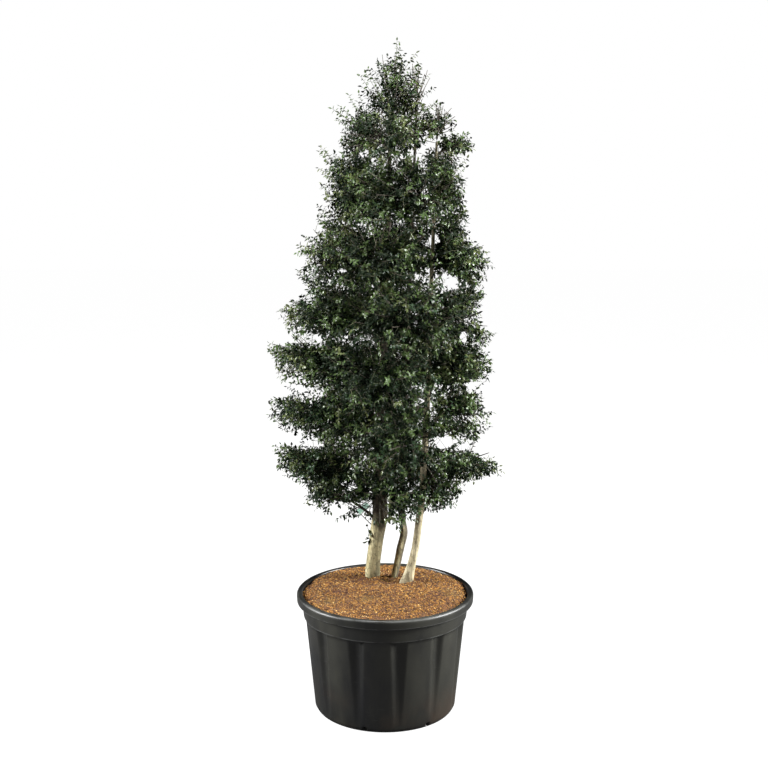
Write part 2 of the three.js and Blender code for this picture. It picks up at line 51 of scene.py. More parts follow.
UP = np.array([0.0, 0.0, 1.0])
GOLDEN_ANGLE = math.pi * (3 - math.sqrt(5))

# %% [markdown]
# ## From arrays to pieces
#
# A crown has too many leaves to model one at a time. Each kind of thing is worked out as one
# array of points and one array of triangles, and both go into a mesh in a single call, which is
# hundreds of times faster than adding faces one by one. Every finished piece then gets a
# material, rides on the model's one body, and hides whatever nodes of the model it stands for.


# %% Meshes and pieces
def mesh_of(name, points_mm, faces):
    """A mesh from points in millimetres and faces that all have the same number of corners."""
    points = np.asarray(points_mm, np.float32) * MM
    faces = np.asarray(faces, np.int32)
    corners = faces.shape[1]
    mesh = bpy.data.meshes.new(name)
    mesh.vertices.add(len(points))
    mesh.vertices.foreach_set("co", points.ravel())
    mesh.loops.add(faces.size)
    mesh.loops.foreach_set("vertex_index", faces.ravel())
    mesh.polygons.add(len(faces))
    mesh.polygons.foreach_set("loop_start", np.arange(0, faces.size, corners, dtype=np.int32))
    mesh.update(calc_edges=True)
    return mesh


def grid_faces(rows, columns, flipped=False):
    """Quads between rows of points, each row a closed ring. Flipped ones face the other way."""
    row, column = np.meshgrid(np.arange(rows - 1), np.arange(columns), indexing="ij")
    a = row * columns + column
    b = row * columns + (column + 1) % columns
    corners = [a, a + columns, b + columns, b] if flipped else [a, b, b + columns, a + columns]
    return np.stack(corners, -1).reshape(-1, 4)


def add_piece(name, mesh, material, replaced=(), smooth=True):
    """Puts a mesh in the scene as a finished piece of the plant or its pot."""
    mesh.materials.append(material)
    mesh.polygons.foreach_set("use_smooth", np.full(len(mesh.polygons), smooth))
    piece = bpy.data.objects.new(name, mesh)
    bpy.context.scene.collection.objects.link(piece)
    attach(piece, BODY)
    if replaced:
        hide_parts(*replaced)
    print(f"{name}: {len(mesh.polygons)} faces")


def unit(vectors):
    """Vectors of length one, for one vector or an array of them."""
    vectors = np.asarray(vectors, float)
    lengths = np.linalg.norm(vectors, axis=-1, keepdims=True)
    return vectors / np.maximum(lengths, 1e-9)


def mix(a, b, share):
    return a + (b - a) * share


def between(wanted, known, points):
    """The points at wanted values, interpolated from points at known values."""
    return np.stack([np.interp(wanted, known, points[:, axis]) for axis in range(3)], -1)


def full_turn(columns):
    """Evenly spaced angles round a full turn."""
    return np.arange(columns) * 2 * math.pi / columns


def smooth_step(low, high, values):
    """0 up to low, 1 from high on, and a soft rise between them."""
    share = np.clip((values - low) / (high - low), 0, 1)
    return share * share * (3 - 2 * share)


print("a grid of 3 rings of 4 points has", len(grid_faces(3, 4)), "faces")

# %% [markdown]
# ## Camera
#
# The photo was taken from a little above the middle of the crown, looking slightly down into the
# pot. The height, distance, tilt and lens below put the pot's rim, the three stems and the tip
# of the crown on the same pixels as in the photo.

# %% Camera
CAMERA_PLACE = (-0.005, -5.1324, 2.331)
CAMERA_DOWN = math.radians(9.336)
LENS_MM = 55.28
SENSOR_MM = 36

camera = bpy.data.objects.new("camera", bpy.data.cameras.new("camera"))
bpy.context.scene.collection.objects.link(camera)
camera.location = CAMERA_PLACE
camera.rotation_euler = (math.pi / 2 - CAMERA_DOWN, 0, 0)
camera.data.lens = LENS_MM
camera.data.sensor_width = SENSOR_MM
bpy.context.scene.camera = camera
print("camera at", CAMERA_PLACE)

# %% [markdown]
# ## Light and floor
#
# The plant was photographed out of doors and cut out on white. The sky lit it from above and from
# both sides, and little light came from the front: the sides of the crown and of the pot are
# lighter than their middles. Three broad lamps stand for the sky, and a weak one in front keeps the
# shadows readable. The world and the floor are seen as white, yet light the plant far less than
# that, so that the inside of the crown stays dark.

# %% Light and floor
WORLD_LIGHT = 0.018
FLOOR_SIZE = 60.0
FLOOR_SHADE = 0.07
FLOOR_GLOW = 0.99
LAMPS = [
    {"name": "left", "watts": 570, "size": 1.7, "place": (-4.4, -0.5, 2.3), "aim": (0, 0, 1.5)},
    {"name": "right", "watts": 790, "size": 1.7, "place": (4.4, -0.5, 2.5), "aim": (0, 0, 1.5)},
    {"name": "above", "watts": 330, "size": 1.2, "place": (-0.3, -0.4, 5.7), "aim": (0, 0, 1.0)},
    {"name": "front", "watts": 18, "size": 2.0, "place": (-1.4, -5.2, 3.0), "aim": (0, 0, 1.2)},
]


def make_world():
    world = bpy.data.worlds.new("studio")
    world.use_nodes = True
    tree = world.node_tree
    background = tree.nodes["Background"]
    background.inputs["Color"].default_value = (1, 1, 1, 1)
    path = tree.nodes.new("ShaderNodeLightPath")
    strength = tree.nodes.new("ShaderNodeMapRange")
    strength.inputs["To Min"].default_value = WORLD_LIGHT
    strength.inputs["To Max"].default_value = 1.0
    tree.links.new(path.outputs["Is Camera Ray"], strength.inputs["Value"])
    tree.links.new(strength.outputs["Result"], background.inputs["Strength"])
    bpy.context.scene.world = world


def add_lamp(name, watts, size, place, aim):
    lamp = bpy.data.lights.new(name, "AREA")
    lamp.energy = watts
    lamp.size = size
    holder = bpy.data.objects.new(name, lamp)
    bpy.context.scene.collection.objects.link(holder)
    holder.location = place
    toward = unit(np.array(aim) - np.array(place))
    yaw = math.atan2(toward[0], -toward[1])
    pitch = math.acos(-toward[2])
    holder.rotation_euler = (pitch, 0, yaw + math.pi)


def add_floor():
    half = FLOOR_SIZE / 2 / MM
    corners = [(-half, -half, 0), (half, -half, 0), (half, half, 0), (-half, half, 0)]
    floor = bpy.data.objects.new("floor", mesh_of("floor", corners, [(0, 1, 2, 3)]))
    material = bpy.data.materials.new("floor_paper")
    material.use_nodes = True
    tree = material.node_tree
    shader = tree.nodes["Principled BSDF"]
    shader.inputs["Base Color"].default_value = (FLOOR_SHADE, FLOOR_SHADE, FLOOR_SHADE, 1)
    shader.inputs["Roughness"].default_value = 1.0
    shader.inputs["Emission Color"].default_value = (1, 1, 1, 1)
    path = tree.nodes.new("ShaderNodeLightPath")
    glow = tree.nodes.new("ShaderNodeMapRange")
    glow.inputs["To Max"].default_value = FLOOR_GLOW
    tree.links.new(path.outputs["Is Camera Ray"], glow.inputs["Value"])
    tree.links.new(glow.outputs["Result"], shader.inputs["Emission Strength"])
    floor.data.materials.append(material)
    bpy.context.scene.collection.objects.link(floor)


make_world()
for lamp in LAMPS:
    add_lamp(**lamp)
add_floor()
bpy.context.scene.view_settings.view_transform = "Standard"
print("world, floor and", len(LAMPS), "lamps")

# %% [markdown]
# ## Shared effects
#
# Dust on plastic, blotches on bark and bits in soil are all patches: smooth noise, stretched one
# way or another, with its middle values pulled apart. One node group makes them all, with its
# own scale, stretch and sharpness wherever it is used, and it puts out only a mask.

# %% Patches and materials
PATCHES = bpy.data.node_groups.new("Patches", "ShaderNodeTree")
NOISE_DETAIL = 4
NOISE_ROUGHNESS = 0.6


def build_patches_group():
    tree = PATCHES
    tree.interface.new_socket("Vector", in_out="INPUT", socket_type="NodeSocketVector")
    stretch = tree.interface.new_socket("Stretch", in_out="INPUT", socket_type="NodeSocketVector")
    stretch.default_value = (1, 1, 1)
    tree.interface.new_socket("Scale", in_out="INPUT", socket_type="NodeSocketFloat")
    tree.interface.new_socket("Low", in_out="INPUT", socket_type="NodeSocketFloat")
    tree.interface.new_socket("High", in_out="INPUT", socket_type="NodeSocketFloat")
    tree.interface.new_socket("Mask", in_out="OUTPUT", socket_type="NodeSocketFloat")
    given = tree.nodes.new("NodeGroupInput")
    result = tree.nodes.new("NodeGroupOutput")
    stretched = tree.nodes.new("ShaderNodeVectorMath")
    stretched.operation = "MULTIPLY"
    noise = tree.nodes.new("ShaderNodeTexNoise")
    noise.inputs["Detail"].default_value = NOISE_DETAIL
    noise.inputs["Roughness"].default_value = NOISE_ROUGHNESS
    spread = tree.nodes.new("ShaderNodeMapRange")
    spread.interpolation_type = "SMOOTHSTEP"
    link = tree.links.new
    link(given.outputs["Vector"], stretched.inputs[0])
    link(given.outputs["Stretch"], stretched.inputs[1])
    link(stretched.outputs["Vector"], noise.inputs["Vector"])
    link(given.outputs["Scale"], noise.inputs["Scale"])
    link(noise.outputs["Fac"], spread.inputs["Value"])
    link(given.outputs["Low"], spread.inputs["From Min"])
    link(given.outputs["High"], spread.inputs["From Max"])
    link(spread.outputs["Result"], result.inputs["Mask"])


class Finish:
    """A material under construction: its nodes, its links, and its surface shader."""

    def __init__(self, name, roughness):
        self.material = bpy.data.materials.new(name)
        self.material.use_nodes = True
        self.tree = self.material.node_tree
        self.shader = self.tree.nodes["Principled BSDF"]
        self.shader.inputs["Roughness"].default_value = roughness
        self.place = self.tree.nodes.new("ShaderNodeTexCoord").outputs["Object"]

    def patches(self, scale, low, high, stretch=(1, 1, 1)):
        """A mask of soft patches: 0 where the noise is under low, and 1 where it is over high."""
        group = self.tree.nodes.new("ShaderNodeGroup")
        group.node_tree = PATCHES
        group.inputs["Scale"].default_value = scale
        group.inputs["Low"].default_value = low
        group.inputs["High"].default_value = high
        group.inputs["Stretch"].default_value = stretch
        self.tree.links.new(self.place, group.inputs["Vector"])
        return group.outputs["Mask"]

    def mixed(self, mask, below, above):
        """A colour between two colours or sockets, by a mask."""
        node = self.tree.nodes.new("ShaderNodeMix")
        node.data_type = "RGBA"
        self.tree.links.new(mask, node.inputs["Factor"])
        for socket, value in ((node.inputs["A"], below), (node.inputs["B"], above)):
            if isinstance(value, bpy.types.NodeSocket):
                self.tree.links.new(value, socket)
            else:
                socket.default_value = (*value, 1)
        return node.outputs["Result"]

    def ranged(self, value, low, high, from_low=0.0, from_high=1.0):
        """The value brought from one range, 0 to 1 if no other is given, to another."""
        node = self.tree.nodes.new("ShaderNodeMapRange")
        node.inputs["From Min"].default_value = from_low
        node.inputs["From Max"].default_value = from_high
        node.inputs["To Min"].default_value = low
        node.inputs["To Max"].default_value = high
        self.tree.links.new(value, node.inputs["Value"])
        return node.outputs["Result"]

    def calculated(self, operation, one, other=None):
        """A Math node's value, from one socket, and another socket or a number where it takes two."""
        node = self.tree.nodes.new("ShaderNodeMath")
        node.operation = operation
        self.tree.links.new(one, node.inputs[0])
        if isinstance(other, bpy.types.NodeSocket):
            self.tree.links.new(other, node.inputs[1])
        elif other is not None:
            node.inputs[1].default_value = other
        return node.outputs["Value"]

    def product(self, one, other):
        return self.calculated("MULTIPLY", one, other)

    def part_of(self, vector, axis):
        """X, Y or Z of a vector."""
        split = self.tree.nodes.new("ShaderNodeSeparateXYZ")
        self.tree.links.new(vector, split.inputs["Vector"])
        return split.outputs[axis]

    def coordinate(self, axis):
        """The place along X, Y or Z, in metres."""
        return self.part_of(self.place, axis)

    def surface(self, output):
        """What the surface itself knows, such as which way it faces."""
        return self.tree.nodes.new("ShaderNodeNewGeometry").outputs[output]

    def near(self, place, radius):
        """A mask that is 1 at a place in millimetres and fades out to 0 at the radius."""
        away = self.tree.nodes.new("ShaderNodeVectorMath")
        away.operation = "DISTANCE"
        away.inputs[1].default_value = [value * MM for value in place]
        self.tree.links.new(self.place, away.inputs[0])
        return self.ranged(away.outputs["Value"], 1, 0, 0, radius * MM)

    def band(self, value, middle, full, end):
        """A mask that is 1 within full of the middle value, and fades out to 0 at end either side."""
        away = self.calculated("ABSOLUTE", self.calculated("SUBTRACT", value, middle))
        return self.ranged(away, 1, 0, full, end)

    def bump(self, mask, distance, strength=1.0):
        node = self.tree.nodes.new("ShaderNodeBump")
        node.inputs["Distance"].default_value = distance
        node.inputs["Strength"].default_value = strength
        self.tree.links.new(mask, node.inputs["Height"])
        self.tree.links.new(node.outputs["Normal"], self.shader.inputs["Normal"])

    def set(self, socket, value):
        self.tree.links.new(value, self.shader.inputs[socket])


build_patches_group()
print("shared group:", PATCHES.name, [item.name for item in PATCHES.interface.items_tree])

# %% [markdown]
# ## The pot
#
# A nursery pot of this size is blow-moulded in one piece of black plastic: a rolled rim, a plain
# collar under it, a ledge, and a wall with twelve pressed-in flutes that fade out towards the
# foot, where small notches let water out. A lathe would make a plain wall, so the wall is made
# as a grid of columns and rows instead, and every point of the grid is pushed in by a formula
# where a flute or a notch lies. The same grid carries on over the rim and down the inside.

# %% The pot's shape
POT_HEIGHT = 540
RIM_RADIUS = 400
RIM_DEPTH = 40
RIM_WIDTH = 25
COLLAR_RADIUS = 377
LEDGE_RADIUS = 361
LEDGE_HEIGHT = 426
FOOT_RADIUS = 321
FOOT_HEIGHT = 16
BASE_RADIUS = 313
NOTCH_TOP = 42
WALL = 5
INNER_WALL_END = 500
MIDDLE_HOLE = 0.5
POT_COLUMNS = 480
FLUTES = 12
FLUTE_PHASE = 9.5
FLUTE_DEPTH = 19
FLUTE_FLOOR = 0.9
FLUTE_EDGE = 6.4
FLUTE_FOOT_WIDTH = 0.6
NOTCHES = 7
NOTCH_PHASE = -16
NOTCH_HALF_ANGLE = 1.6
NOTCH_DEPTH = 12
NOTCH_EDGE = 0.8
NOTCH_STARTS = (6, 9)
NOTCH_ENDS = (20, 24)


def arc(middle, radius, start, end, steps):
    """Points of an arc in a profile, from angle start to angle end in degrees."""
    angles = np.radians(np.linspace(start, end, steps))
    return np.stack([middle[0] + radius * np.cos(angles), middle[1] + radius * np.sin(angles)], 1)


def pot_profile():
    """The pot's section from the middle of its underside, out, up, over the rim and down inside.

    Each row is one stretch of it, and ends with the number of its points.
    """
    rim_foot = POT_HEIGHT - RIM_DEPTH
    inner = RIM_RADIUS - RIM_WIDTH
    stretches = [
        np.linspace((0, 0), (BASE_RADIUS - 4, 0), 8),
        arc((BASE_RADIUS - 4, 4), 4, -90, -30, 4),
        np.linspace((BASE_RADIUS + 2, 5), (FOOT_RADIUS, FOOT_HEIGHT), 5),
        np.linspace((FOOT_RADIUS + 0.5, FOOT_HEIGHT + 4), (FOOT_RADIUS + 2.5, NOTCH_TOP), 8),
        np.linspace((FOOT_RADIUS + 3.5, NOTCH_TOP + 10), (LEDGE_RADIUS, LEDGE_HEIGHT), 26),
        np.linspace((LEDGE_RADIUS + 5, LEDGE_HEIGHT + 3), (COLLAR_RADIUS - 8, LEDGE_HEIGHT + 7), 3),
        np.linspace((COLLAR_RADIUS - 7, LEDGE_HEIGHT + 12), (COLLAR_RADIUS, rim_foot - 3), 6),
        np.linspace((COLLAR_RADIUS + 2, rim_foot), (RIM_RADIUS - 6, rim_foot), 3),
        arc((RIM_RADIUS - 5, rim_foot + 4), 4, -60, 0, 4),
        np.linspace((RIM_RADIUS - 1, rim_foot + 10), (RIM_RADIUS, POT_HEIGHT - 16), 4),
        arc((RIM_RADIUS - 12, POT_HEIGHT - 12), 12, 10, 90, 8),
        arc((inner + 6, POT_HEIGHT - 6), 6, 90, 180, 5),
        np.linspace((inner - 2, POT_HEIGHT - 14), (inner - WALL, INNER_WALL_END), 4),
    ]
    return np.concatenate(stretches)


def angle_from_nearest(angles, count, phase):
    """How far each angle lies from the nearest of count evenly spaced ones, in degrees."""
    step = 360 / count
    return np.abs((angles - phase + step / 2) % step - step / 2)


def pot_radii(radii, heights, angles):
    """The wall's radius at each row and column, with the flutes and notches pressed in."""
    rise = np.clip((heights - FOOT_HEIGHT) / (LEDGE_HEIGHT - FOOT_HEIGHT), 0, 1)
    on_wall = (heights >= FOOT_HEIGHT) & (heights <= LEDGE_HEIGHT) & (radii < COLLAR_RADIUS - 10)
    from_flute = angle_from_nearest(angles, FLUTES, FLUTE_PHASE)[None, :]
    narrowing = mix(FLUTE_FOOT_WIDTH, 1, rise[:, None])
    flank = 1 - smooth_step(FLUTE_FLOOR * narrowing, FLUTE_EDGE * narrowing, from_flute)
    flute = np.where(on_wall, rise, 0)[:, None] * FLUTE_DEPTH * flank
    low = (smooth_step(*NOTCH_STARTS, heights) * (1 - smooth_step(*NOTCH_ENDS, heights)))[:, None]
    from_notch = angle_from_nearest(angles, NOTCHES, NOTCH_PHASE)[None, :]
    opening = 1 - smooth_step(NOTCH_HALF_ANGLE * NOTCH_EDGE, NOTCH_HALF_ANGLE, from_notch)
    return radii[:, None] - flute - low * NOTCH_DEPTH * opening


def turned_mesh(name, profile, radii, angles):
    """A closed skin of revolution from rows of radii, one radius for each column."""
    rows, columns = radii.shape
    turn = np.radians(angles)
    x = radii * np.sin(turn)
    y = -radii * np.cos(turn)
    z = np.repeat(profile[:, 1:2], columns, axis=1)
    points = np.stack([x, y, z], -1).reshape(-1, 3)
    return mesh_of(name, points, grid_faces(rows, columns))


def make_pot_mesh():
    profile = pot_profile()
    profile[0, 0] = MIDDLE_HOLE
    angles = np.arange(POT_COLUMNS) * 360 / POT_COLUMNS
    radii = pot_radii(profile[:, 0], profile[:, 1], angles)
    return turned_mesh("pot_shell", profile, radii, angles)


pot_mesh = make_pot_mesh()
print("pot:", len(pot_mesh.vertices), "points")

# %% [markdown]
# ### Black plastic that has stood outdoors
#
# New plastic is a flat black mirror. This pot has been in a nursery: a thin film of grey-brown
# dust lies over its wall in streaks, it is a little brown near the foot, and it carries fine
# scuffs. Its edges in front are painted a lighter grey, partly rubbed wear and partly painted
# highlight along the rim and the ledge. Dust is duller than plastic, so the same mask lifts the
# colour and the roughness.

# %% The pot's finish
PLASTIC_BLACK = (0.003, 0.0033, 0.0046)
DUST_GREY = (0.0200, 0.0197, 0.0142)
FOOT_BROWN = (0.034, 0.022, 0.014)
SCUFF_GREY = (0.05, 0.05, 0.047)
RUBBED_AND_HIGHLIT_GREY = (0.14, 0.145, 0.14)
# Lighter grey bands round the rim and the ledge, in front only: partly rubbed wear, partly painted highlight.
RUBBED_AND_HIGHLIT_EDGES = [
    {"height": 0.4335, "half": 0.004, "share": 0.6},
    {"height": 0.5015, "half": 0.004, "share": 0.7},
    {"height": 0.536, "half": 0.005, "share": 0.5},
]
RUBBED_AND_HIGHLIT_FRONT = (-0.15, 0.1)
FOOT_STAIN = {"share": 0.75, "up_to": 0.2}


def make_plastic():
    finish = Finish("nursery_plastic", roughness=0.4)
    film = finish.patches(scale=3.2, low=0.3, high=0.72, stretch=(1, 1, 0.5))
    runs = finish.patches(scale=34, low=0.45, high=0.75, stretch=(1, 1, 0.06))
    scuffs = finish.patches(scale=70, low=0.66, high=0.74, stretch=(0.25, 0.25, 2.2))
    grain = finish.patches(scale=900, low=0.2, high=0.8)
    low = finish.ranged(finish.coordinate("Z"), FOOT_STAIN["share"], 0, 0, FOOT_STAIN["up_to"])
    brown = finish.patches(scale=5, low=0.42, high=0.7)
    dusty = finish.mixed(film, PLASTIC_BLACK, DUST_GREY)
    streaked = finish.mixed(finish.ranged(runs, 0, 0.35), dusty, DUST_GREY)
    scuffed = finish.mixed(finish.ranged(scuffs, 0, 0.5), streaked, SCUFF_GREY)
    soiled = finish.mixed(finish.product(low, brown), scuffed, FOOT_BROWN)
    # The lighter grey on the edges in front is partly rubbed wear and partly painted highlight.
    in_front = finish.ranged(finish.coordinate("Y"), 1.0, 0.0, *RUBBED_AND_HIGHLIT_FRONT)
    rubbed_and_highlit = finish.product(in_front, finish.patches(scale=14, low=0.3, high=0.62, stretch=(1, 1, 0.2)))
    for edge in RUBBED_AND_HIGHLIT_EDGES:
        worn = finish.product(finish.band(finish.coordinate("Z"), edge["height"], 0, edge["half"]), rubbed_and_highlit)
        soiled = finish.mixed(finish.ranged(worn, 0, edge["share"]), soiled, RUBBED_AND_HIGHLIT_GREY)
    finish.set("Base Color", soiled)
    finish.set("Roughness", finish.ranged(film, 0.3, 0.52))
    finish.bump(grain, distance=0.0002, strength=0.35)
    return finish.material


add_piece("pot_shell", pot_mesh, make_plastic(), ["pot"])

# %% [markdown]
# ## The soil
#
# The pot is filled with bark and coir mulch, mounded a little in the middle. The bed is a round
# grid with its heights roughened by a few layers of waves. On top of it lie thousands of loose
# bits, which are too many to place by hand: Geometry Nodes scatter points over the bed, put one
# angular crumb on each, turn and stretch it at random, and make the result real, so that it
# leaves here as a plain mesh. Five scatters, each with colours of its own, make the speckled look.

# %% The soil's bed
SOIL_EDGE = 526
SOIL_CROWN = 552
SOIL_TOP_RADIUS = 240
SOIL_RADIUS = 369
SOIL_RINGS = 62
SOIL_COLUMNS = 200
SOIL_DEPTH = 30
SOIL_LIFT = 5
SOIL_HOLLOW = 5
SOIL_STEEPENING = 1.4
SOIL_BACK = {"rise": 8, "by": 300}
SOIL_HEAPS = [(-32, 108, 27, 18), (-97, 117, 22, 13), (136, 60, 34, 9)]
LUMP_HEIGHT = 2.6
CRUMB_HEIGHT = 1.6
PINHOLE = 0.02
UNDERSIDE_HOLE = (0.01, 0.01, 1)


def soil_height(x, y):
    """The height of the soil's surface: a mound, with broad and fine waves and a few heaps on it."""
    radius = np.hypot(x, y)
    slope = np.clip((radius - SOIL_TOP_RADIUS) / (SOIL_RADIUS - SOIL_TOP_RADIUS), 0, 1)
    mound = SOIL_CROWN - SOIL_HOLLOW - (SOIL_CROWN - SOIL_EDGE - SOIL_LIFT) * slope ** SOIL_STEEPENING
    lumps = LUMP_HEIGHT * np.sin(x / 31 + 1.3 * np.sin(y / 43)) * np.sin(y / 27 + 0.8)
    crumbs = CRUMB_HEIGHT * np.sin(x / 8.3 + 2 * np.sin(y / 11)) * np.cos(y / 7.1 + np.sin(x / 13))
    back = SOIL_BACK["rise"] * np.clip(y / SOIL_BACK["by"], 0, 1) * slope
    heaps = 0
    for at_x, at_y, width, rise in SOIL_HEAPS:
        heaps = heaps + rise * np.exp(-((x - at_x) ** 2 + (y - at_y) ** 2) / width ** 2)
    return mound + lumps + crumbs + back + heaps


def make_soil_bed(name, closed):
    """The bed as a round grid: its top alone, or closed with a side and an underside."""
    radii = SOIL_RADIUS * (np.arange(SOIL_RINGS) + PINHOLE) / (SOIL_RINGS - 1 + PINHOLE)
    turn = full_turn(SOIL_COLUMNS)
    x = radii[:, None] * np.sin(turn)[None, :]
    y = -radii[:, None] * np.cos(turn)[None, :]
    points = np.stack([x, y, soil_height(x, y)], -1).reshape(-1, 3)
    if closed:
        rim = np.stack([x[-1], y[-1], np.full(SOIL_COLUMNS, SOIL_EDGE - SOIL_DEPTH)], -1)
        points = np.concatenate([points, rim, rim * UNDERSIDE_HOLE])
    return mesh_of(name, points, grid_faces(len(points) // SOIL_COLUMNS, SOIL_COLUMNS, flipped=True))


DAMP_BROWN = (0.075, 0.024, 0.012)
MOSS_OLIVE = (0.17, 0.13, 0.045)
DAMP_SPOTS = [(-110, 113, 62), (146, 113, 62), (67, 187, 55), (246, -91, 70), (-191, -60, 60), (20, 60, 50)]
MOSS_SPOTS = [(-85, -129, 60), (298, -42, 75), (-250, -150, 60)]
BED_BROWNS = ((0.043, 0.016, 0.006), (0.115, 0.047, 0.015), (0.21, 0.098, 0.031))


def make_mulch(name, dark, middle, light):
    """Three browns in patches, with damp and mossy spots at their places on the bed."""
    finish = Finish(name, roughness=0.95)
    broad = finish.patches(scale=45, low=0.3, high=0.7)
    fine = finish.patches(scale=260, low=0.4, high=0.66)
    ground = finish.mixed(broad, dark, middle)
    lit = finish.mixed(fine, ground, light)
    damp = finish.patches(scale=9, low=0.5, high=0.78)
    colour = finish.mixed(finish.ranged(damp, 0, 0.6), lit, DAMP_BROWN)
    broken = finish.patches(scale=60, low=0.35, high=0.6)
    for spots, tint, share in ((DAMP_SPOTS, DAMP_BROWN, 1.0), (MOSS_SPOTS, MOSS_OLIVE, 0.55)):
        for x, y, radius in spots:
            spot = finish.product(finish.near((x, y, SOIL_CROWN), radius), broken)
            colour = finish.mixed(finish.ranged(spot, 0, share), colour, tint)
    finish.set("Base Color", colour)
    finish.bump(fine, distance=0.002, strength=0.8)
    return finish.material


add_piece(
    "soil_bed",
    make_soil_bed("soil_bed", closed=True),
    make_mulch("mulch_bed", *BED_BROWNS),
    ["soil"],
)

# %% Loose bits on the soil
CRUMB_POINTS = [
    (-1, -0.2, 0.1), (1, 0.15, -0.1), (0.1, -1, 0.05), (-0.2, 0.9, 0.1), (0.1, 0.05, -0.8), (0, -0.1, 0.9),
]
CRUMB_FACES = [(0, 2, 5), (2, 1, 5), (1, 3, 5), (3, 0, 5), (2, 0, 4), (1, 2, 4), (3, 1, 4), (0, 3, 4)]
CRUMB_TILT = 0.7


def make_crumb():
    """One angular bit, a millimetre each way, kept out of the scene and only copied."""
    return bpy.data.objects.new("crumb", mesh_of("crumb", CRUMB_POINTS, CRUMB_FACES))


def scatter_tree(name, crumb, material):
    """Points over a surface, each with one crumb that is turned and stretched at random."""
    tree = bpy.data.node_groups.new(name, "GeometryNodeTree")
    face = tree.interface
    face.new_socket("Geometry", in_out="INPUT", socket_type="NodeSocketGeometry")
    for label, kind in (("Density", "Float"), ("Seed", "Int"), ("Least", "Vector"), ("Most", "Vector")):
        face.new_socket(label, in_out="INPUT", socket_type=f"NodeSocket{kind}")
    face.new_socket("Geometry", in_out="OUTPUT", socket_type="NodeSocketGeometry")
    node = tree.nodes.new
    link = tree.links.new
    given = node("NodeGroupInput")
    result = node("NodeGroupOutput")
    points = node("GeometryNodeDistributePointsOnFaces")
    source = node("GeometryNodeObjectInfo")
    source.inputs["Object"].default_value = crumb
    turn = node("FunctionNodeRandomValue")
    turn.data_type = "FLOAT_VECTOR"
    turn.inputs["Min"].default_value = (-CRUMB_TILT, -CRUMB_TILT, 0)
    turn.inputs["Max"].default_value = (CRUMB_TILT, CRUMB_TILT, 2 * math.pi)
    size = node("FunctionNodeRandomValue")
    size.data_type = "FLOAT_VECTOR"
    place = node("GeometryNodeInstanceOnPoints")
    real = node("GeometryNodeRealizeInstances")
    paint = node("GeometryNodeSetMaterial")
    paint.inputs["Material"].default_value = material
    link(given.outputs["Geometry"], points.inputs["Mesh"])
    link(given.outputs["Density"], points.inputs["Density"])
    for seeded in (points, turn, size):
        link(given.outputs["Seed"], seeded.inputs["Seed"])
    link(given.outputs["Least"], size.inputs["Min"])
    link(given.outputs["Most"], size.inputs["Max"])
    link(points.outputs["Points"], place.inputs["Points"])
    link(source.outputs["Geometry"], place.inputs["Instance"])
    link(turn.outputs["Value"], place.inputs["Rotation"])
    link(size.outputs["Value"], place.inputs["Scale"])
    link(place.outputs["Instances"], real.inputs["Geometry"])
    link(real.outputs["Geometry"], paint.inputs["Geometry"])
    link(paint.outputs["Geometry"], result.inputs["Geometry"])
    return tree


def scatter(name, tree, values):
    """Runs a scatter tree on the top of the soil, and gives back the plain mesh that it makes."""
    carrier = bpy.data.objects.new(name, make_soil_bed(f"{name}_ground", closed=False))
    bpy.context.scene.collection.objects.link(carrier)
    modifier = carrier.modifiers.new(name, "NODES")
    modifier.node_group = tree
    sockets = {item.name: item.identifier for item in tree.interface.items_tree if item.in_out == "INPUT"}
    for label, value in values.items():
        modifier[sockets[label]] = value
    evaluated = carrier.evaluated_get(bpy.context.evaluated_depsgraph_get())
    mesh = bpy.data.meshes.new_from_object(evaluated)
    bpy.data.objects.remove(carrier)
    mesh.materials.clear()
    return mesh


LOOSE_BITS = [
    {"name": "amber_crumbs", "colours": ((0.235, 0.105, 0.021), (0.36, 0.165, 0.03), (0.48, 0.245, 0.05)),
     "density": 5400, "least": (3.2, 2.8, 1.8), "most": (8.6, 7.2, 4.6)},
    {"name": "red_crumbs", "colours": ((0.125, 0.045, 0.011), (0.23, 0.09, 0.02), (0.315, 0.14, 0.032)),
     "density": 3600, "least": (3.2, 2.6, 1.8), "most": (8.6, 6.6, 4.2)},
    {"name": "dark_crumbs", "colours": ((0.025, 0.011, 0.006), (0.05, 0.022, 0.011), (0.09, 0.04, 0.02)),
     "density": 2900, "least": (3.0, 2.4, 1.4), "most": (9.0, 6.4, 4.0)},
    {"name": "golden_crumbs", "colours": ((0.35, 0.185, 0.042), (0.52, 0.3, 0.078), (0.76, 0.53, 0.21)),
     "density": 2200, "least": (2.2, 1.8, 1.3), "most": (7.2, 4.8, 3.4)},
    {"name": "fibres", "colours": ((0.14, 0.07, 0.03), (0.27, 0.14, 0.06), (0.42, 0.25, 0.12)),
     "density": 1500, "least": (6.0, 0.5, 0.5), "most": (15.0, 1.0, 1.0)},
]
crumb = make_crumb()
for seed, bits in enumerate(LOOSE_BITS):
    name = bits["name"]
    mulch = make_mulch(f"mulch_{name}", *bits["colours"])
    tree = scatter_tree(f"scatter_{name}", crumb, mulch)
    values = {"Density": float(bits["density"]), "Seed": seed, "Least": bits["least"], "Most": bits["most"]}
    add_piece(name, scatter(name, tree, values), mulch, smooth=False)
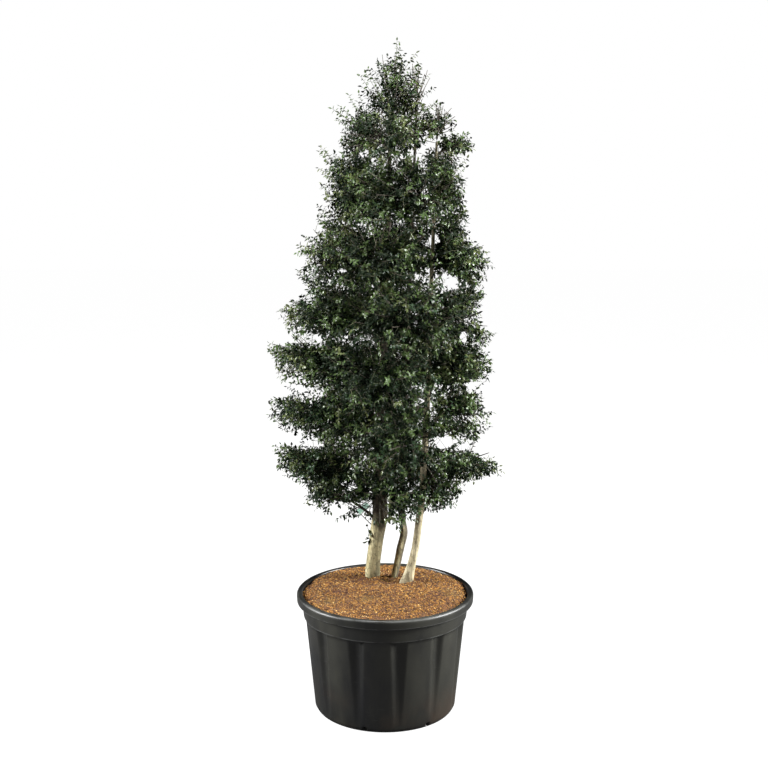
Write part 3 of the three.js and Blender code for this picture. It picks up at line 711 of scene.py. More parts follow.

# %% [markdown]
# ## The stems
#
# Three stems leave the soil close together. Each is a line of knots with a radius at each, much
# as in the model, with a few knots more so that the bends near the soil fall where they are seen.
# The line runs through its knots on a smooth curve, and round it goes a ring of points every few
# millimetres. Young holly bark is smooth, with shallow lengthwise ridges, old scars and a swelling
# at the foot, so each ring point moves in or out a little by where it lies. That is real relief:
# it shows on the outline too. The bark's colour carries painted shade: it is painted darker where
# the crown shades it, and down the right side of two of the stems.

# %% Stems as smooth curves
STEMS = {
    "thick": {
        "knots": [(-59, 151, 532), (-56, 148, 614), (-39, 140, 740), (-26, 132, 833), (-24, 126, 928),
                  (-12, 112, 1300), (2, 100, 1750), (14, 90, 2200), (20, 85, 2540)],
        "radii": [37, 32.5, 33, 34.5, 33.5, 25, 18, 12, 7],
    },
    "middle": {
        "knots": [(40, 161, 532), (57, 158, 615), (70, 155, 683), (87, 152, 768), (78, 152, 829),
                  (78, 152, 890), (86, 150, 1300), (106, 146, 1800), (122, 142, 2300), (134, 144, 2590)],
        "radii": [17, 16, 17, 17.5, 15, 14.5, 13, 10, 7, 5],
    },
    "right": {
        "knots": [(99, 89, 532), (113, 91, 593), (124, 92, 639), (137, 94, 702), (150, 94, 792),
                  (162, 92, 900), (182, 86, 1235), (200, 76, 1800), (212, 60, 2200), (222, 46, 2540)],
        "radii": [29, 24, 18.5, 17, 16.5, 15.5, 14, 10, 7, 5],
    },
}
STEM_STEP = 7
STEM_COLUMNS = 40
STEM_SUNK = 14
TIP_LEFT = 25
TUBE_END = 0.02
LEVEL = 0.8


class Limb:
    """A tapering limb: its knots, and the radius at each."""

    def __init__(self, name, points, radii):
        self.name = name
        self.points = np.array(points, float)
        self.radii = np.array(radii, float)

    def at_height(self, wanted):
        """The middle of the limb at a height, or a little under its tip where that is higher."""
        heights = self.points[:, 2]
        return between(min(wanted, heights[-1] - TIP_LEFT), heights, self.points)


stems = {name: Limb(name, stem["knots"], stem["radii"]) for name, stem in STEMS.items()}


def run_of(points):
    """The length of each stretch from point to point, and how far along each point lies."""
    lengths = np.linalg.norm(np.diff(points, axis=0), axis=1)
    return lengths, np.concatenate([[0], np.cumsum(lengths)])


def smooth_line(points, radii, step):
    """A curve through the knots, and the radius along it, sampled about every step millimetres."""
    lengths, along = run_of(points)
    samples = np.linspace(0, along[-1], max(int(along[-1] / step), 3) + 1)
    slopes = np.gradient(points, along, axis=0)
    i = np.clip(np.searchsorted(along, samples, side="right") - 1, 0, len(lengths) - 1)
    span = lengths[i][:, None]
    t = ((samples - along[i]) / lengths[i])[:, None]
    line = (
        points[i] * (2 * t ** 3 - 3 * t ** 2 + 1) + slopes[i] * span * (t ** 3 - 2 * t ** 2 + t)
        + points[i + 1] * (3 * t ** 2 - 2 * t ** 3) + slopes[i + 1] * span * (t ** 3 - t ** 2)
    )
    return line, np.interp(samples, along, radii)


def ring_frames(line):
    """Two directions across the line at each of its points, which turn as little as they can."""
    along = unit(np.gradient(line, axis=0))
    across = np.empty_like(line)
    first = np.array([1.0, 0, 0]) if abs(along[0][0]) < LEVEL else np.array([0, 1.0, 0])
    for i, heading in enumerate(along):
        first = unit(first - heading * (first @ heading))
        across[i] = first
    return across, np.cross(along, across)


def spokes(across, side, columns):
    """Evenly spaced directions all round each pair of directions across a line."""
    turn = full_turn(columns)
    return across[:, None, :] * np.cos(turn)[None, :, None] + side[:, None, :] * np.sin(turn)[None, :, None]


def tube(line, radii, columns):
    """Points and faces of a tube with its ends drawn in, from one radius for each ring point."""
    rings = line[:, None, :] + spokes(*ring_frames(line), columns) * radii[:, :, None]
    for end in (0, -1):
        rings[end] = mix(line[end], rings[end], TUBE_END)
    return rings.reshape(-1, 3), grid_faces(len(line), columns)


for name, limb in stems.items():
    print(f"stem_{name}: {run_of(limb.points)[1][-1]:.0f} mm long")


# %% Bark relief and the three stems
# Painted shade: each stem's bark is painted brown between two heights, where the crown shades it, and down
# its right side; the right stem has little of either.
BARK = {
    "thick": {
        "colours": ((0.46, 0.41, 0.24), (0.30, 0.265, 0.14), (0.09, 0.078, 0.036)),
        "shaded": (0.82, 0.89), "shade": 0.85, "side_shade": 0.2, "toe": 0.14, "toe_turn": 250, "seed": 1,
    },
    "middle": {
        "colours": ((0.5, 0.45, 0.27), (0.33, 0.29, 0.16), (0.07, 0.058, 0.032)),
        "shaded": (0.79, 0.87), "shade": 0.75, "side_shade": 0.85, "toe": 0.1, "toe_turn": 250, "seed": 2,
    },
    "right": {
        "colours": ((0.47, 0.42, 0.28), (0.32, 0.28, 0.17), (0.12, 0.095, 0.052)),
        "shaded": (0.88, 0.98), "shade": 0.1, "side_shade": 0, "toe": 0.42, "toe_turn": 208, "seed": 3,
    },
}
# The brown of the painted shade, the facings over which the right side is painted darker, and how far lower
# the patchy edge of the painted shade begins.
SHADE_BROWN = (0.03, 0.022, 0.014)
SIDE_SHADE_FACING = (0.1, 0.5)
SHADE_PATCH_DROP = 0.08
RIDGES = {"count": 7, "height": 0.022}
WAVE_HEIGHT = 0.03
FINE_HEIGHT = 0.014
SCARS = {"count": 26, "highest": 700, "width": (7, 15), "lift": (-0.10, 0.13)}
FOOT = {"height": 26, "waist": 0.12, "lobes": 0.07, "toe_width": 0.6}


def bark_relief(line, radii, columns, bark):
    """The radius at every ring point: ridges, waves, scars and a lobed foot on a smooth limb."""
    random = np.random.default_rng(bark["seed"])
    turn = full_turn(columns)
    rise = line[:, 2:3] - SOIL_CROWN
    phase = random.uniform(0, 2 * math.pi, 6)
    bend = 1.4 * np.sin(rise / 140 + phase[1])
    ridges = RIDGES["height"] * np.sin(RIDGES["count"] * turn + phase[0] + bend)
    waves = WAVE_HEIGHT * np.sin(rise / 37 + phase[2] + 2 * np.sin(turn + phase[3]))
    fine = FINE_HEIGHT * np.sin(13 * turn + rise / 16 + phase[4]) * np.sin(rise / 9 + 3 * np.sin(2 * turn))
    toe = bark["toe"] * np.exp(-((turn - math.radians(bark["toe_turn"])) / FOOT["toe_width"]) ** 2)
    lobes = FOOT["lobes"] * np.sin(3 * turn + phase[5])
    foot = np.exp(-np.maximum(rise, 0) / FOOT["height"]) * (toe + lobes - FOOT["waist"])
    shape = 1 + ridges + waves + fine + foot
    for _ in range(SCARS["count"]):
        height = random.uniform(0, SCARS["highest"])
        angle = random.uniform(0, 2 * math.pi)
        width = random.uniform(*SCARS["width"])
        lift = random.uniform(*SCARS["lift"])
        gap = np.abs((turn - angle + math.pi) % (2 * math.pi) - math.pi) * radii[:, None]
        shape = shape + lift * np.exp(-(gap ** 2 + (rise - height) ** 2) / width ** 2)
    return radii[:, None] * shape


def make_bark(name, light, ground, dark, shaded, shade, side_shade=0):
    """Streaked and spotted bark, with painted shade: it turns brown between two heights and down one side."""
    finish = Finish(name, roughness=0.85)
    streaks = finish.patches(scale=70, low=0.36, high=0.66, stretch=(1, 1, 0.14))
    blotches = finish.patches(scale=24, low=0.46, high=0.62, stretch=(1, 1, 0.6))
    specks = finish.patches(scale=80, low=0.54, high=0.6, stretch=(1, 1, 0.7))
    ringed = finish.patches(scale=36, low=0.5, high=0.72, stretch=(0.5, 0.5, 3))
    striped = finish.mixed(streaks, ground, light)
    blotched = finish.mixed(finish.ranged(blotches, 0, 0.55), striped, dark)
    lined = finish.mixed(finish.ranged(ringed, 0, 0.3), blotched, dark)
    speckled = finish.mixed(finish.ranged(specks, 0, 0.6), lined, dark)
    # Painted shade: the side that faces right is painted darker.
    to_the_right = finish.part_of(finish.surface("Normal"), "X")
    side_shaded = finish.mixed(finish.ranged(to_the_right, 0, side_shade, *SIDE_SHADE_FACING), speckled, SHADE_BROWN)
    # Painted shade under the crown: patchy from a little lower down, then full between the two heights.
    height = finish.coordinate("Z")
    low, high = shaded
    rising = finish.ranged(height, 0, shade, low - SHADE_PATCH_DROP, high - SHADE_PATCH_DROP)
    shade_patches = finish.product(rising, finish.patches(scale=22, low=0.42, high=0.56))
    mottled = finish.mixed(shade_patches, side_shaded, SHADE_BROWN)
    finish.set("Base Color", finish.mixed(finish.ranged(height, 0, shade, low, high), mottled, SHADE_BROWN))
    finish.bump(streaks, distance=0.0016, strength=0.7)
    return finish.material


def make_stem(name, limb, bark):
    line, radii = smooth_line(limb.points, limb.radii, STEM_STEP)
    under = line[0] - (0, 0, STEM_SUNK)
    line = np.concatenate([[under], line])
    radii = np.concatenate([[radii[0]], radii])
    points, faces = tube(line, bark_relief(line, radii, STEM_COLUMNS, bark), STEM_COLUMNS)
    material = make_bark(f"bark_{name}", *bark["colours"], bark["shaded"], bark["shade"], bark["side_shade"])
    add_piece(f"bark_{name}", mesh_of(f"bark_{name}", points, faces), material, [f"stem_{name}"])


for name, limb in stems.items():
    make_stem(name, limb, BARK[name])

# %% [markdown]
# ## Spaces for the foliage
#
# A crown like this is a pile of masses, one for each bough, and each keeps to its own space: a
# rounded box that points out along its bough. Neighbours part where their pulls are equal, on
# flat walls between them, so that no twig of one grows through another. The tiers below are the
# same as in the model: the height of each mass, and how far its tips reach from the crown's axis.

# %% Sizes of the crown
CROWN_AXIS = np.array([20.0, 85.0])
LEFT_TIERS = [(960, 390, 150), (1125, 560, 0), (1350, 570, 0), (1590, 560, 0), (1800, 497, 0), (2040, 412, 0),
              (2340, 305, 0), (2600, 225, 0)]
RIGHT_TIERS = [(970, 330, 0), (1135, 535, 0), (1350, 480, 0), (1560, 478, 0), (1775, 490, 0), (2065, 447, 0),
               (2400, 362, 0), (2535, 372, 195)]
FRONT_TIERS = {"count": 7, "lowest": 1025, "spacing": 259, "turn": 18}
BACK_TIERS = {"count": 7, "lowest": 1040, "spacing": 262, "turn": 20}
LEADERS = [
    {"name": "apex", "stem": "thick", "tip": (50, 85, 2935), "spread": 140, "pull": 260},
    {"name": "second", "stem": "middle", "tip": (148, 150, 2905), "spread": 125, "pull": 255},
    {"name": "side", "stem": "right", "tip": (232, 30, 2725), "spread": 120, "pull": 245},
]
DEPTH_SHARE = 0.96
TIER_OVERLAP = 0.9
END_OVERLAP = 0.64
TIER_LIFT = 0.24
TIER_WIDTH = {"least": 130, "share": 0.38, "most": 0.8}
INNER_SHARE = 0.32
BARK_ROOM = 26
FURTHEST_BACK = -30
LEADER_LEAD = 12
CELL_STRETCH = 1.9
SQUARENESS = 2.8
print("tiers to the left and right:", len(LEFT_TIERS), len(RIGHT_TIERS))


# %% The spaces
class Space:
    """The room that one mass of foliage may grow in: a rounded box, and its pull on its neighbours."""

    def __init__(self, name, stem, middle, outward, sizes, pull=None, leader=False):
        self.name = name
        self.stem = stems[stem]
        self.middle = middle
        across = np.cross(outward, UP)
        across = unit(across) if across @ across > 1e-6 else np.array([1.0, 0, 0])
        self.axes = np.array([outward, across, unit(np.cross(across, outward))])
        self.sizes = np.array(sizes, float)
        upright = np.linalg.norm(self.axes[:, 2] * self.sizes)
        natural = (self.sizes.sum() + (CELL_STRETCH - 1) * upright) / 3
        self.pull = (pull or natural) ** 2
        self.leader = leader
        self.bough = None

    def spot(self, shares, scale=1.0):
        """Points of the space, from their shares of its three sizes."""
        return self.middle + (np.asarray(shares) * self.sizes * scale) @ self.axes

    def depth(self, points):
        """0 at the middle of the space, and 1 on its outside."""
        shares = np.abs((points - self.middle) @ self.axes.T / self.sizes)
        return (shares ** SQUARENESS).sum(-1) ** (1 / SQUARENESS)

    def pull_on(self, points):
        offset = (points - self.middle) * (1, 1, CELL_STRETCH)
        return (offset ** 2).sum(-1) - self.pull

    def owns(self, points, margin=0.0):
        """Whether each point lies nearer this space than any other, by their pulls."""
        own = self.pull_on(points)
        kept = np.ones(len(points), bool)
        for other in spaces:
            if other is not self:
                apart = np.linalg.norm(other.middle - self.middle)
                kept &= other.pull_on(points) - own > 2 * apart * CELL_STRETCH * margin
        return kept


def tier_space(name, stem, azimuth, tier, half_height):
    height, reach, gap_inside = tier
    angle = math.radians(azimuth)
    out = np.array([math.cos(angle), math.sin(angle), 0])
    axis = np.array([*CROWN_AXIS, height])
    outside_bark = max((stems[stem].at_height(height) - axis) @ out, FURTHEST_BACK) + BARK_ROOM
    inner = max(min(outside_bark, reach * INNER_SHARE), gap_inside)
    half = (reach - inner) / 2
    width = min(TIER_WIDTH["least"] + reach * TIER_WIDTH["share"], reach * TIER_WIDTH["most"])
    outward = unit(np.array([out[0], out[1], TIER_LIFT]))
    return Space(name, stem, axis + out * (inner + half), outward, (half, width, half_height))


def reach_at(height):
    """How far the front and back tiers reach: as far as the left and right ones at that height."""
    sides = 0
    for tiers in (LEFT_TIERS, RIGHT_TIERS):
        heights, reaches, _ = zip(*tiers)
        sides += np.interp(height, heights, reaches)
    return sides / 2


def side_spaces(side, stem, azimuth, tiers):
    made = []
    for i, tier in enumerate(tiers):
        below = tiers[max(i - 1, 0)][0]
        above = tiers[min(i + 1, len(tiers) - 1)][0]
        inside = 0 < i < len(tiers) - 1
        half_height = (above - below) / 2 * TIER_OVERLAP if inside else (above - below) * END_OVERLAP
        made.append(tier_space(f"{side}_{i + 1}", stem, azimuth, tier, half_height))
    return made


def ring_spaces(side, ring_stems, azimuth, tiers):
    made = []
    for i in range(tiers["count"]):
        height = tiers["lowest"] + i * tiers["spacing"]
        turned = azimuth + (tiers["turn"] if i % 2 else -tiers["turn"])
        overlap = TIER_OVERLAP if 0 < i < tiers["count"] - 1 else END_OVERLAP
        tier = (height, reach_at(height) * DEPTH_SHARE, 0)
        half_height = tiers["spacing"] * overlap
        made.append(tier_space(f"{side}_{i + 1}", ring_stems[i % 2], turned, tier, half_height))
    return made


def leader_space(name, stem, tip, spread, pull):
    top = stems[stem].points[-1]
    out = np.array(tip) - top
    reach = np.linalg.norm(out) / 2 + LEADER_LEAD
    return Space(name, stem, mix(top, np.array(tip), 0.5), unit(out), (reach, spread, spread), pull, True)


spaces = [
    *side_spaces("left", "thick", 180, LEFT_TIERS),
    *side_spaces("right", "right", 0, RIGHT_TIERS),
    *ring_spaces("front", ("thick", "right"), 270, FRONT_TIERS),
    *ring_spaces("back", ("middle", "middle"), 90, BACK_TIERS),
    *[leader_space(**leader) for leader in LEADERS],
]
print(len(spaces), "spaces")

# %% [markdown]
# ## Boughs
#
# In the lower part of the crown a bough carries each mass. It rises from its stem, bends
# out level and runs on inside the mass as a thinning branch, which everything else grows from.
# Higher up the masses sit close to the stems, and their branches leave the bark directly.

# %% Boughs and the branch inside each mass
BOUGHS_BELOW = 2050
BOUGH_ENTRY = 0.62
BOUGH_RISE = {"least": 85, "share": 0.35}
BOUGH_BEND = {"at": 0.55, "lift": 0.1}
BOUGH_RADIUS = {"least": 4.2, "share": 0.014}
BOUGH_TAPER = np.array([1.3, 1, 0.75])
SHORTEST_BOUGH = 45
BOUGH_CREEP = 0.05
BRANCH_RADIUS = 5.1
BRANCH_TIP = 1.6
BRANCH_RUN = {"below": 0.55, "short": 0.7, "sag": 0.05, "taper": 0.62}
TIP_ROOM = {"length": 115, "whole": 230, "least": 0.58}


def room_at(points, limbs):
    """How far each point is from the nearest bark of some limbs."""
    room = np.full(len(points), np.inf)
    for limb in limbs:
        for a, b, ra, rb in zip(limb.points, limb.points[1:], limb.radii, limb.radii[1:]):
            span = b - a
            share = np.clip((points - a) @ span / (span @ span), 0, 1)
            gap = np.linalg.norm(points - (a + share[:, None] * span), axis=1) - (ra + (rb - ra) * share)
            room = np.minimum(room, gap)
    return room


def grow_bough(space, limbs):
    inset = -BOUGH_ENTRY
    while room_at(space.spot((inset, 0, 0))[None], limbs)[0] < SHORTEST_BOUGH:
        inset += BOUGH_CREEP
    entry = space.spot((inset, 0, 0))
    reach = space.sizes[0]
    rise = BOUGH_RISE["least"] + reach * BOUGH_RISE["share"]
    root = space.stem.at_height(entry[2] - rise)
    bend = mix(root, entry, BOUGH_BEND["at"]) + (0, 0, rise * BOUGH_BEND["lift"])
    radius = BOUGH_RADIUS["least"] + reach * BOUGH_RADIUS["share"]
    return Limb(space.name, [root, bend, entry], radius * BOUGH_TAPER)


def branch_of(space):
    """The branch inside a mass: on from its bough's tip or its leader, or straight out of the bark."""
    reach = space.sizes[0]
    carrier = space.bough or space.stem
    from_tip = bool(space.bough) or space.leader
    start = carrier.points[-1]
    radius = carrier.radii[-1]
    if not from_tip:
        start = carrier.at_height(space.middle[2] - reach * BRANCH_RUN["below"])
        radius = BRANCH_RADIUS
    roominess = min(max(np.cbrt(space.sizes.prod()) / TIP_ROOM["whole"], TIP_ROOM["least"]), 1)
    far = space.middle + space.axes[0] * (reach - TIP_ROOM["length"] * roominess * BRANCH_RUN["short"])
    bend = mix(start, far, 0.5) - (0, 0, reach * BRANCH_RUN["sag"])
    radii = [radius, radius * BRANCH_RUN["taper"], BRANCH_TIP]
    return Limb(f"{space.name}_branch", [start, bend, far], radii)


limbs = list(stems.values())
for space in spaces:
    if not space.leader and space.middle[2] <= BOUGHS_BELOW:
        space.bough = grow_bough(space, limbs)
        limbs.append(space.bough)
for space in spaces:
    space.branch = branch_of(space)
print(sum(bool(space.bough) for space in spaces), "boughs")

# %% Boughs as one mesh
BOUGH_STEP = 12
BOUGH_COLUMNS = 10
BOUGH_KNOBS = {"height": 0.06, "along": 1.7, "round": 1.9}
BOUGH_BROWNS = ((0.10, 0.085, 0.05), (0.06, 0.05, 0.03), (0.025, 0.02, 0.013))
# Painted shade: the boughs' bark is painted brown between these heights, as the stems' is under the crown.
BOUGH_SHADED = (0.82, 0.89)
BOUGH_SHADE = 0.85


def make_boughs():
    """Every bough with the branch that it ends in, as one mesh of knobbly tubes."""
    points, faces, count = [], [], 0
    for space in spaces:
        knots, radii = space.branch.points, space.branch.radii
        if space.bough:
            knots = np.concatenate([space.bough.points, knots[1:]])
            radii = np.concatenate([space.bough.radii, radii[1:]])
        line, radii = smooth_line(knots, radii, BOUGH_STEP)
        along = np.arange(len(line))[:, None] * BOUGH_KNOBS["along"]
        knobs = BOUGH_KNOBS["height"] * np.sin(along + np.arange(BOUGH_COLUMNS) * BOUGH_KNOBS["round"])
        limb_points, limb_faces = tube(line, radii[:, None] * (1 + knobs), BOUGH_COLUMNS)
        points.append(limb_points)
        faces.append(limb_faces + count)
        count += len(limb_points)
    return mesh_of("boughs", np.concatenate(points), np.concatenate(faces))


add_piece(
    "boughs",
    make_boughs(),
    make_bark("bark_boughs", *BOUGH_BROWNS, BOUGH_SHADED, BOUGH_SHADE),
    [f"bough_{space.name}" for space in spaces if space.bough],
)

# %% [markdown]
# ## Twigs, shoots and leaves
#
# Growth goes in three orders. Twigs leave the branch of a mass and make for points spread over
# the outside of its space by the golden angle, the rule that spaces seeds evenly on a sunflower.
# Shoots leave each twig in turn, a golden angle further round every time. Leaves sit along each
# shoot in the same way, and one closes its end. What would touch a stem, stray far out of its
# space or past the crown's outline is left out. The outline is measured on the photo, as are the
# larger gaps through which the sky shows and the tips of the sprays that stand out. The numbers
# are drawn from seeded generators, so every run is the same.

# %% The outline in the photo
CROWN_OUTLINE = [
    (845, -150, 155), (865, -255, 175), (895, -320, 200), (925, -318, 328), (955, -380, 333),
    (985, -366, 360), (1016, -368, 382), (1048, -422, 388), (1070, -470, 548), (1105, -496, 535),
    (1137, -496, 505), (1170, -518, 446), (1192, -538, 384), (1229, -402, 410), (1259, -452, 444),
    (1289, -480, 478), (1350, -525, 500), (1385, -550, 445), (1430, -512, 438), (1455, -410, 440),
    (1475, -410, 455), (1502, -508, 486), (1533, -480, 500), (1563, -498, 490), (1594, -502, 484),
    (1624, -524, 460), (1660, -550, 460), (1685, -400, 495), (1715, -432, 490), (1746, -454, 460),
    (1776, -480, 420), (1807, -486, 424), (1837, -450, 412), (1868, -406, 438), (1898, -355, 450),
    (1928, -332, 447), (1959, -366, 456), (1989, -401, 464), (2033, -412, 487), (2067, -400, 459),
    (2137, -380, 385), (2241, -305, 362), (2345, -300, 346), (2450, -300, 368), (2519, -300, 391),
    (2589, -250, 355), (2640, -225, 310), (2700, -245, 262), (2745, -175, 235), (2790, -140, 215),
    (2830, -132, 209), (2870, -100, 190), (2900, -60, 175), (2930, 15, 150), (2965, 25, 90),
]
OUTLINE_SLACK = 4
SPRAY_SLACK = 24
SKY_GAPS = [
    {"middle": (-340, 1450), "half": (66, 24)}, {"middle": (-420, 1470), "half": (56, 16)},
    {"middle": (-326, 1222), "half": (34, 15)}, {"middle": (-415, 1240), "half": (48, 18)},
    {"middle": (262, 1230), "half": (58, 25)}, {"middle": (352, 1208), "half": (44, 15)},
    {"middle": (342, 1337), "half": (44, 17)}, {"middle": (352, 1700), "half": (24, 20)},
    {"middle": (345, 1772), "half": (44, 14)}, {"middle": (402, 1482), "half": (44, 20)},
    {"middle": (-335, 1690), "half": (50, 20)}, {"middle": (-228, 932), "half": (46, 20)},
    {"middle": (290, 1940), "half": (30, 24)}, {"middle": (-190, 1985), "half": (26, 13)},
    {"middle": (215, 2125), "half": (20, 22)}, {"middle": (-150, 925), "half": (56, 26)},
    {"middle": (-160, 2655), "half": (23, 62)}, {"middle": (-215, 2560), "half": (22, 20)},
    {"middle": (184, 2715), "half": (16, 46)}, {"middle": (-300, 2180), "half": (34, 14)},
    {"middle": (-320, 1880), "half": (26, 12)}, {"middle": (320, 2420), "half": (24, 14)},
]
RAGGED = {"size": 75, "seed": 3, "share": 0.5}
WINDOWS = [
    {"middle": (-20, 925), "half": (42, 70), "depth": 126},
    {"middle": (181, 1228), "half": (19, 54), "depth": 88},
    {"middle": (176, 1112), "half": (11, 30), "depth": 88},
    {"middle": (-91, 929), "half": (38, 36), "depth": 118},
    {"middle": (-100, 862), "half": (50, 22), "depth": 700},
    {"middle": (-63, 998), "half": (12, 19), "depth": 700},
    {"middle": (-145, 1022), "half": (26, 11), "depth": 700},
    {"middle": (196, 2120), "half": (15, 18), "depth": 700},
    {"middle": (-200, 2082), "half": (17, 12), "depth": 700},
    {"middle": (-214, 2136), "half": (12, 11), "depth": 700},
]
BODY_INSET = {"least": 8, "most": 46, "from": 2600, "to": 2880}


def seen_flat(points):
    """Where the camera sees each point in the upright plane through the pot's middle: x and height."""
    camera_mm = np.array(CAMERA_PLACE) / MM
    share = -camera_mm[1] / (points[:, 1] - camera_mm[1])
    return (camera_mm + (points - camera_mm) * share[:, None])[:, [0, 2]]


def outline_at(wanted):
    """The left and right edges of the crown's outline, at one height or at many."""
    heights, left, right = np.array(CROWN_OUTLINE, float).T
    return np.interp(wanted, heights, left), np.interp(wanted, heights, right)


def in_outline(points, slack=0.0):
    """Whether each point is seen inside the crown's outline."""
    x, z = seen_flat(points).T
    left, right = outline_at(z)
    return (x > left - slack) & (x < right + slack)


def soft_noise(points, size, seed, waves=7):
    """A smooth value between about -1 and 1 that changes over a distance of about size."""
    random = np.random.default_rng(seed)
    directions = unit(random.normal(size=(waves, 3))) * random.uniform(0.7, 1.5, (waves, 1))
    phases = random.uniform(0, 2 * math.pi, waves)
    return np.sin(points @ directions.T * (2 * math.pi / size) + phases).sum(1) / math.sqrt(waves) / 1.4


def in_oval(points, oval):
    """Whether each point is seen in an upright oval with a ragged edge."""
    offset = (seen_flat(points) - oval["middle"]) / oval["half"]
    return (offset ** 2).sum(1) < 1 + RAGGED["share"] * soft_noise(points, RAGGED["size"], RAGGED["seed"])


def may_grow(points, slack=0.0):
    """Whether each point is seen inside the outline and outside all its gaps."""
    allowed = in_outline(points, slack)
    for gap in SKY_GAPS:
        allowed &= ~in_oval(points, gap)
    return allowed


def in_window(points):
    """Whether each point stands in front of bark, a label or sky that the photo shows there."""
    hiding = np.zeros(len(points), bool)
    for window in WINDOWS:
        hiding |= in_oval(points, window) & (points[:, 1] < window["depth"])
    return hiding


def body_inset(points):
    """How far inside the outline the body of the crown ends, where only sprays go further."""
    rise = smooth_step(BODY_INSET["from"], BODY_INSET["to"], points[:, 2])
    return BODY_INSET["least"] + (BODY_INSET["most"] - BODY_INSET["least"]) * rise


print(len(CROWN_OUTLINE), "heights of the outline and", len(SKY_GAPS), "gaps")

# %% Twigs of a mass
TWIGS_LEAST = 28
TWIGS_MOST = 68
TWIG_ROOM = 0.36e6
INNERMOST_TWIG = -0.75
TWIG_ROOTS = {"share": 0.62, "start": 0.04, "first": 0.06, "last": 0.92}
TWIG_SAMPLES = 7
TWIG_PULLED_IN = (1.0, 0.92, 0.84, 0.76, 0.68, 0.6, 0.5, 0.4)
TWIG_SEED = 100
TWIG_STRAY = 0.05
TWIG_SAG = 0.06
TWIG_CLEARANCE = 4
SHOOT_BACK = {"length": 62, "shares": (0.5, 1.3), "least": 0.55}


def boxed(shares):
    """Directions drawn out to the outside of a rounded box of size one."""
    return shares / (np.abs(shares) ** SQUARENESS).sum(-1, keepdims=True) ** (1 / SQUARENESS)


def twig_aims(space, random):
    """Points spread evenly over the outside of a space, each drawn in until the space owns it."""
    room = space.sizes.prod() / TWIG_ROOM
    count = int(np.clip(TWIGS_LEAST + room, 0, TWIGS_MOST))
    k = np.arange(count)
    out = 1 - 2 * (k + 0.5) / count
    across = np.sqrt(1 - out ** 2)
    angle = GOLDEN_ANGLE * k + random.uniform(0, 0.5, count)
    shares = boxed(np.stack([out, across * np.cos(angle), across * np.sin(angle)], 1))
    back = SHOOT_BACK["length"] * random.uniform(*SHOOT_BACK["shares"], (count, 1))
    shares = (shares * np.maximum(1 - back / space.sizes, SHOOT_BACK["least"]))[out >= INNERMOST_TWIG]
    aims = space.spot(shares)
    settled = np.zeros(len(aims), bool)
    for pulled in TWIG_PULLED_IN:
        nearer = space.spot(shares, pulled)
        fits = space.owns(nearer) & ~settled
        aims[fits] = nearer[fits]
        settled |= fits
    return aims[settled]


def along_branch(branch, share):
    """A point of a branch, from its share of the way from start to far end."""
    start, bend, far = branch.points
    return mix(start, bend, share * 2) if share < 0.5 else mix(bend, far, share * 2 - 1)


def twig_curve(root, aim, random):
    """A bent line from the branch to its aim: it leaves low, and turns up towards the light."""
    length = np.linalg.norm(aim - root)
    middle = mix(root, aim, 0.5) + random.normal(0, TWIG_STRAY, 3) * length - (0, 0, TWIG_SAG * length)
    t = np.linspace(0, 1, TWIG_SAMPLES)[:, None]
    return (1 - t) ** 2 * root + 2 * t * (1 - t) * middle + t ** 2 * aim


def grow_twigs(space, random):
    """A twig to each aim that it can reach clear of the stems and inside the outline."""
    reach = space.sizes[0]
    start = space.branch.points[0]
    twigs = []
    for aim in twig_aims(space, random):
        outward = (aim - start) @ space.axes[0] / (2 * reach)
        share = TWIG_ROOTS["start"] + outward * TWIG_ROOTS["share"]
        root = along_branch(space.branch, np.clip(share, TWIG_ROOTS["first"], TWIG_ROOTS["last"]))
        curve = twig_curve(root, aim, random)
        if room_at(curve[2:], stems.values()).min() > TWIG_CLEARANCE and may_grow(curve[2:]).all():
            twigs.append(curve)
    return twigs


for i, space in enumerate(spaces):
    space.twigs = grow_twigs(space, np.random.default_rng(TWIG_SEED + i))
    space.sprays = []
print(sum(len(space.twigs) for space in spaces), "twigs")

# %% Sprays that stand out of the crown
SPRAY_TIPS = [
    (54, 85, 2982), (146, 120, 2930), (12, 90, 2918), (-44, 85, 2890), (-124, 85, 2826),
    (-127, 70, 2756), (200, 110, 2832), (164, 110, 2800), (-203, 60, 2702), (-230, 60, 2637),
    (-262, 60, 2505), (-292, 60, 2256), (85, 70, 2860), (110, 110, 2850), (-279, 60, 2363),
    (341, 30, 2583), (341, 40, 2241), (-392, 60, 2003), (280, 20, 905), (395, 20, 985),
    (232, 60, 2660), (262, 30, 2640), (-389, 60, 2083), (-422, 60, 1852), (-472, 60, 1814),
    (-533, 60, 1657), (-533, 60, 1410), (-525, 60, 1205), (-480, 60, 1078), (-375, 60, 950),
    (-255, 0, 862), (232, 30, 2702), (304, 30, 2620), (383, 30, 2476), (345, 40, 2383),
    (322, 40, 2315), (375, 40, 2158), (398, 40, 2083), (471, 40, 2024), (444, 40, 1859),
    (497, 40, 1717), (489, 40, 1544), (497, 40, 1350), (542, 30, 1079), (400, 20, 1190),
    (330, 20, 929), (60, -180, 870), (475, 30, 1118), (66, 95, 2962), (-330, 20, 895),
    (-190, 40, 858), (-108, 90, 2790), (-130, 85, 2722), (-100, 70, 2690), (-84, 80, 2862),
    (-214, 70, 2668), (146, 20, 852), (152, 50, 872),
]
EDGE_SPRAYS = {"low": 1000, "high": 2780, "count": 27, "jitter": 26, "front": -60, "back": 150}
EDGE_SEED = 31
SPRAY_SEED = 900
SPRAY_RUN = 210
SPRAY_CLIMB = 1.1
SPRAY_CLIMBS = (1000, 1900)
SPRAY_INSIDE = 8
SPRAY_POINT = 92
SPRAY_ROOTS = (0.3, 0.5, 0.7, 0.9)


